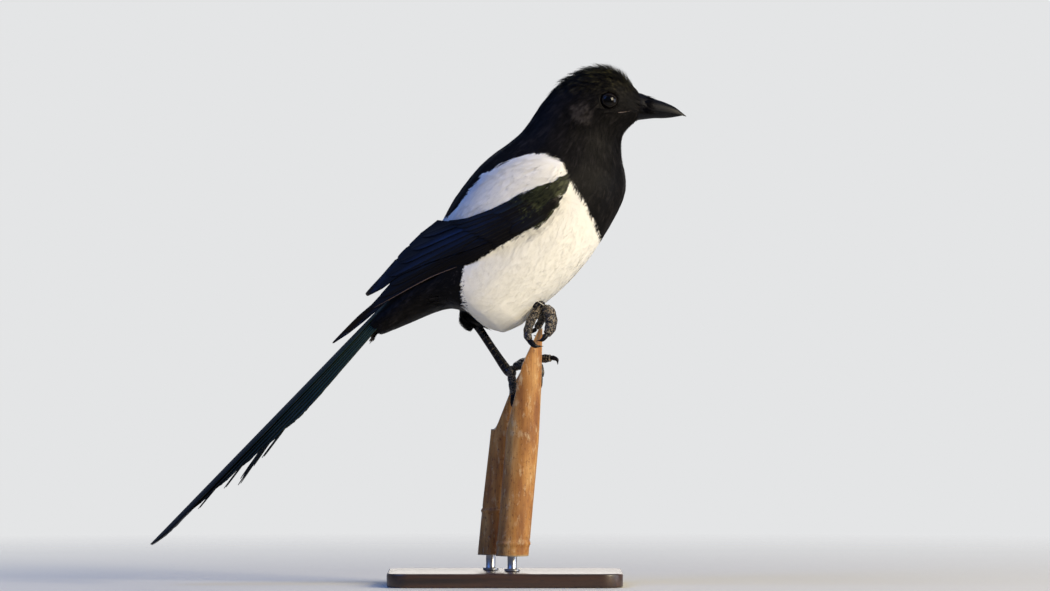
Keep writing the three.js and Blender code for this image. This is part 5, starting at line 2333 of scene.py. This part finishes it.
LEFT_FOOT = Foot(
    side=Side.LEFT,
    shank=((-20.4, 24.4, 169, 3), (-16.8, 23.2, 164.3, 2.3), (-7.8, 19.2, 150.8, 2.2),
           (0.4, 15.6, 138.8, 2.6), (3.4, 13.6, 136, 2.6), (6, 12.4, 136.6, 1.6)),
    toes={
        "hind": ((4.6, 12, 138.6, 2.7), (4.2, 6.4, 134, 2.4), (4.8, 2.4, 128.4, 2.2), (5, 1.1, 121.5, 1.8)),
        "outer": ((7.4, 14.4, 139.8, 2.8), (12.4, 15.4, 142.6, 2.5), (18.4, 14, 144, 2.4),
                  (24.6, 11, 144.8, 2.4), (29.6, 8.6, 145.2, 2.1)),
        "middle": ((7.4, 11.6, 139.8, 2.8), (13.6, 7, 142.6, 2.4), (19, 1.6, 142.6, 2.3),
                   (22.4, -3, 138.6, 2.2), (22.6, -4.4, 133, 1.9)),
        "inner": ((6.4, 10.4, 139.6, 2.6), (11, 5.4, 140.4, 2.3), (15.6, 2.4, 137.6, 2.1),
                  (17.4, 1.6, 132, 1.9), (17, 1.2, 127.4, 1.6)),
    },
    claws={
        "hind": ((5, 0.8, 120.2, 1.6), (4.8, 0.2, 115.4, 1.1), (6.8, 0.6, 110.6, 0.35)),
        "outer": ((31, 8, 145.3, 1.6), (33.4, 7.2, 144, 1.1), (33.8, 6.6, 140.8, 0.35)),
        "middle": ((22.7, -4.7, 131.6, 1.5), (22.8, -4.6, 127.6, 1.1), (22.5, -4.4, 124, 0.35)),
        "inner": ((16.9, 1, 126.1, 1.3), (16, 0.6, 122.4, 0.95), (14.6, 0.4, 119, 0.35)),
    },
)


# Reeds and stand


@dataclass(frozen=True)
class Reed:
    """A cut reed: a hollow stem with one joint and a slanting tip like a quill's."""

    name: str
    axis: Table  # X, Y, Z and radius
    joint: float
    cut: Table  # X and Z from the tip down
    wall: float = 2.0
    blunt: float = 4.0
    bore: float = 12.0  # how far the hollow goes below the cut's low end

    def build(self) -> None:
        """Builds the reed as one closed shell: outer face, rim of the cut, hollow and floor."""
        heights = [row[2] for row in self.axis]
        rows = np.array(self.axis)
        low, high = heights[0], self.cut[0][1] - self.blunt
        cut_x = [x for x, _ in reversed(self.cut)]
        cut_z = [z for _, z in reversed(self.cut)]
        floor = self.cut[-1][1] - self.bore
        piths: dict[Triple, float] = {}

        def round_at(z: float, turn: float, wall: float) -> Pair:
            x, y, radius = (float(np.interp(z, heights, rows[:, k])) for k in (0, 1, 3))
            at = z - self.joint
            if not wall:
                radius += 0.7 * math.exp(-((at / 1.1) ** 2)) - 0.3 * math.exp(-(((at - 1.9) / 0.5) ** 2))
                radius *= 1 + 0.008 * math.sin(3 * turn + 0.02 * z) + 0.004 * math.sin(11 * turn)
            radius -= wall
            return x + radius * math.cos(turn), y + radius * math.sin(turn)

        def top(turn: float, wall: float) -> float:
            z = high
            for _ in range(12):
                z = min(high, float(np.interp(round_at(z, turn, wall)[0], cut_x, cut_z)))
            return z

        def place(u: float, v: float) -> Triple:
            turn = 2 * math.pi * u
            pith = 1.0
            if v < 0.04:
                x, y = round_at(low, turn, 0.0)
                size = v / 0.04
                spot = (rows[0, 0] + (x - rows[0, 0]) * size, rows[0, 1] + (y - rows[0, 1]) * size, low)
            elif v < 0.8:
                share = (v - 0.04) / 0.76
                z = low + (top(turn, 0.0) - low) * share
                spot = (*round_at(z, turn, 0.0), z)
                pith = 0.0
            elif v < 0.84:
                share = (v - 0.8) / 0.04
                outer, inner = top(turn, 0.0), top(turn, self.wall)
                z = outer + (inner - outer) * share
                a, b = round_at(outer, turn, 0.0), round_at(inner, turn, self.wall)
                spot = (a[0] + (b[0] - a[0]) * share, a[1] + (b[1] - a[1]) * share, z)
            elif v < 0.97:
                share = (v - 0.84) / 0.13
                z = top(turn, self.wall) + (floor - top(turn, self.wall)) * share
                spot = (*round_at(z, turn, self.wall), z)
            else:
                size = (1 - v) / 0.03
                x, y = round_at(floor, turn, self.wall)
                cx, cy = (float(np.interp(floor, heights, rows[:, k])) for k in (0, 1))
                spot = (cx + (x - cx) * size, cy + (y - cy) * size, floor)
            piths[tuple(np.round(spot, 3))] = pith
            return spot

        made = lofted(64, 150, place)
        note(made, "pith", piths)
        piece_of(f"{self.name}_stem", mesh_from(made), DryReed("dry_reed"), Slot.REED, [self.name])


FRONT_REED = Reed(
    name="perch_cane_front",
    axis=((4.6, -12.4, 19, 10.4), (7.6, -12.4, 54, 10.5), (10.9, -12.4, 92, 10.6), (12.6, -12.4, 128, 10.6),
          (13.6, -12.4, 172, 10.5)),
    joint=27.0,
    cut=((23.8, 168.6), (11.0, 141.5), (0.5, 96.0)),
)
BACK_REED = Reed(
    name="perch_cane_back",
    axis=((-9.2, 12.2, 19, 8.4), (-5.8, 12.2, 54, 8.4), (-1.4, 12.2, 92, 8.4), (2.2, 12.2, 128, 8.4),
          (3.6, 12.2, 146, 8.4)),
    joint=47.4,
    cut=((12.3, 141.0), (4.2, 125.8), (-6.1, 99.6)),
)


@dataclass(frozen=True)
class Stand:
    """The display stand: a flat wooden base and a steel rod under each reed."""

    length: float = 150.0
    width: float = 112.0
    thick: float = 9.0
    corner: float = 14.0
    bevel: float = 1.2
    rod: float = 3.0
    clearance: float = 0.15

    def build(self, reeds: Sequence[Reed]) -> None:
        """Builds the base and the rods.

        Args:
            reeds: The reeds that the rods hold.
        """
        base = bmesh.new()
        place = Matrix.Translation((0, 0, self.thick / 2 * MM))
        place = place @ Matrix.Diagonal((self.length * MM, self.width * MM, self.thick * MM, 1))
        bmesh.ops.create_cube(base, size=1, matrix=place)
        upright = [e for e in base.edges if abs(e.verts[0].co.z - e.verts[1].co.z) > self.thick * MM / 2]
        options = {"affect": "EDGES", "profile": 0.5, "material": -1}
        bmesh.ops.bevel(base, geom=upright, offset=self.corner * MM, segments=14, **options)
        level = [e for e in base.edges if abs(e.verts[0].co.z - e.verts[1].co.z) < self.thick * MM / 2]
        rim = [e for e in level if len(e.link_faces) == 2 and e.calc_face_angle(0) > 1]
        bmesh.ops.bevel(base, geom=rim, offset=self.bevel * MM, segments=4, **options)
        mesh = mesh_from(base)
        mesh.set_sharp_from_angle(angle=math.radians(50))
        piece_of("stand_base_wood", mesh, StainedWood("stained_wood"), Slot.WOOD, ["stand_base"])
        for reed in reeds:
            x, y, end, _ = reed.axis[0]
            foot, head = self.thick + self.clearance, end - self.clearance

            def profile(u: float, v: float) -> Triple:
                rows = ((0, foot), (4.6, foot), (5.0, foot + 0.4), (5.0, foot + 1.4), (4.6, foot + 1.8))
                rows += ((3.2, foot + 1.8), (self.rod, foot + 2.1), (self.rod, head), (0, head))
                spot = v * (len(rows) - 1)
                first = min(int(spot), len(rows) - 2)
                share = spot - first
                radius, z = (a + (b - a) * share for a, b in zip(rows[first], rows[first + 1]))
                turn = 2 * math.pi * u
                return x + radius * math.cos(turn), y + radius * math.sin(turn), z

            name = reed.name.replace("perch_cane", "stand_rod")
            mesh = mesh_from(lofted(48, 8, profile))
            mesh.set_sharp_from_angle(angle=math.radians(35))
            piece_of(f"{name}_steel", mesh, BrushedSteel("brushed_steel"), Slot.STEEL, [name])


# Studio


@dataclass(frozen=True)
class Floor(Finish):
    """Plain pale paper that melts into the pale surroundings away from the model."""

    shade: str = "#dfdccd"
    fade: Pair = (0.25, 1.1)  # metres from the origin

    def shader(self, tree: Tree) -> dict[str, Any]:
        """Plain colour without shine."""
        return {"Base Color": colour(self.shade), "Roughness": 0.9}

    def surface(self, tree: Tree) -> Socket:
        """The paper, clear beyond the fade."""
        place = add(tree, "TexCoord").outputs["Object"]
        reach = add(tree, "VectorMath", {0: place}, operation="LENGTH").outputs["Value"]
        clear = add(tree, "BsdfTransparent").outputs[0]
        inputs = {0: ranged(tree, reach, self.fade), 1: super().surface(tree), 2: clear}
        return add(tree, "MixShader", inputs).outputs[0]


@dataclass(frozen=True)
class Lamp:
    """A soft square lamp that points at the model."""

    name: str
    place: Triple  # metres
    size: float
    power: float
    tint: str

    def build(self) -> None:
        """Hangs the lamp."""
        lamp = bpy.data.lights.new(self.name, "AREA")
        lamp.size = self.size
        lamp.energy = self.power
        lamp.color = colour(self.tint)[:3]
        light = bpy.data.objects.new(self.name, lamp)
        light.location = self.place
        light.rotation_euler = (Vector((0, 0, 0.2)) - Vector(self.place)).to_track_quat("-Z", "Y").to_euler()
        bpy.context.scene.collection.objects.link(light)


@dataclass(frozen=True)
class Studio:
    """Camera, lamps, surroundings and floor. Distances are in metres."""

    distance: float = 5.0
    field: float = 0.672  # width of the picture at the model
    aim: Pair = (0.0128, 0.1853)  # X and Z
    air: str = "#e4e5e6"
    sky: str = "#93aee6"  # light from above
    ground: str = "#b3a28c"  # light from below
    air_power: float = 0.3
    floor_size: float = 1.3
    lamps: tuple[Lamp, ...] = (
        Lamp("key", (2.45, -1.8, 1.45), 1.6, 131.0, "#fff0d2"),
        Lamp("sky", (-1.7, -0.9, 2.0), 1.8, 30.0, "#5a92ff"),
        Lamp("front", (2.7, -0.1, 0.4), 1.4, 18.0, "#dfeaff"),
        Lamp("far", (0.5, 2.8, 1.1), 1.8, 26.0, "#fdf6ec"),
    )

    def build(self) -> None:
        """Sets everything up."""
        scene = bpy.context.scene
        scene.view_settings.view_transform = "Standard"
        world = bpy.data.worlds.new("studio")
        scene.world = world
        world.use_nodes = True
        background = world.node_tree.nodes["Background"]
        tree = world.node_tree
        seen = add(tree, "LightPath").outputs["Is Camera Ray"]
        height = add(tree, "SeparateXYZ", {0: add(tree, "TexCoord").outputs["Generated"]}).outputs[2]
        rise = ranged(tree, height, (-0.3, 0.4))
        light = mixed(tree, rise, colour(self.ground), colour(self.sky))
        tree.links.new(mixed(tree, seen, light, colour(self.air)), background.inputs[0])
        tree.links.new(ranged(tree, seen, (0.0, 1.0), (self.air_power, 1.0)), background.inputs[1])
        data = bpy.data.cameras.new("camera")
        data.lens = data.sensor_width * self.distance / self.field
        data.clip_end = 60
        camera = bpy.data.objects.new("camera", data)
        camera.location = (self.aim[0], -self.distance, self.aim[1])
        camera.rotation_euler = (math.pi / 2, 0, 0)
        scene.collection.objects.link(camera)
        scene.camera = camera
        for lamp in self.lamps:
            lamp.build()
        disk = bmesh.new()
        bmesh.ops.create_circle(disk, cap_ends=True, segments=96, radius=self.floor_size)
        mesh = mesh_from(disk)
        mesh.materials.append(Floor("pale_paper").material())
        floor = bpy.data.objects.new("floor", mesh)
        scene.collection.objects.link(floor)


def main() -> None:
    """Builds the magpie piece by piece."""
    logging.basicConfig(level=logging.INFO, format="%(message)s")
    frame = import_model()
    rng = np.random.default_rng(SEED)
    lie = Lie()
    skin = Skin()
    body = skin.shape(frame, lie)
    patches = SoftPatches()
    skin.dress(body, patches, rng)
    ground = Ground(body)
    wing_nodes = [n for n in frame["nodes"] if n.startswith("wing_")]
    cover = Ground(mesh_from(welded_copy(frame, wing_nodes)))
    plumage = BodyCoat()
    field, place = plumage.field(body, lie, patches, cover, rng)
    coat = Coat(ground, lambda spots: lie.read(spots)[2], patches.markings, TuftShape())
    plumage.dress(coat, field, place, rng)
    FoldedWings().build(frame, rng)
    whole = welded_copy(frame, [n for n in frame["nodes"] if n.startswith(("tail_feather", "bill"))])
    whole.from_mesh(body)
    firm = mesh_from(whole)
    patches.dress(firm, Ground(firm), lie, rng)
    Tail().build(rng)
    Eyes().build()
    Bill().build()
    Gape().build(ground)
    for foot in (RIGHT_FOOT, LEFT_FOOT):
        foot.build()
    for reed in (FRONT_REED, BACK_REED):
        reed.build()
    Stand().build((FRONT_REED, BACK_REED))
    Studio().build()


if __name__ == "__main__":
    main()
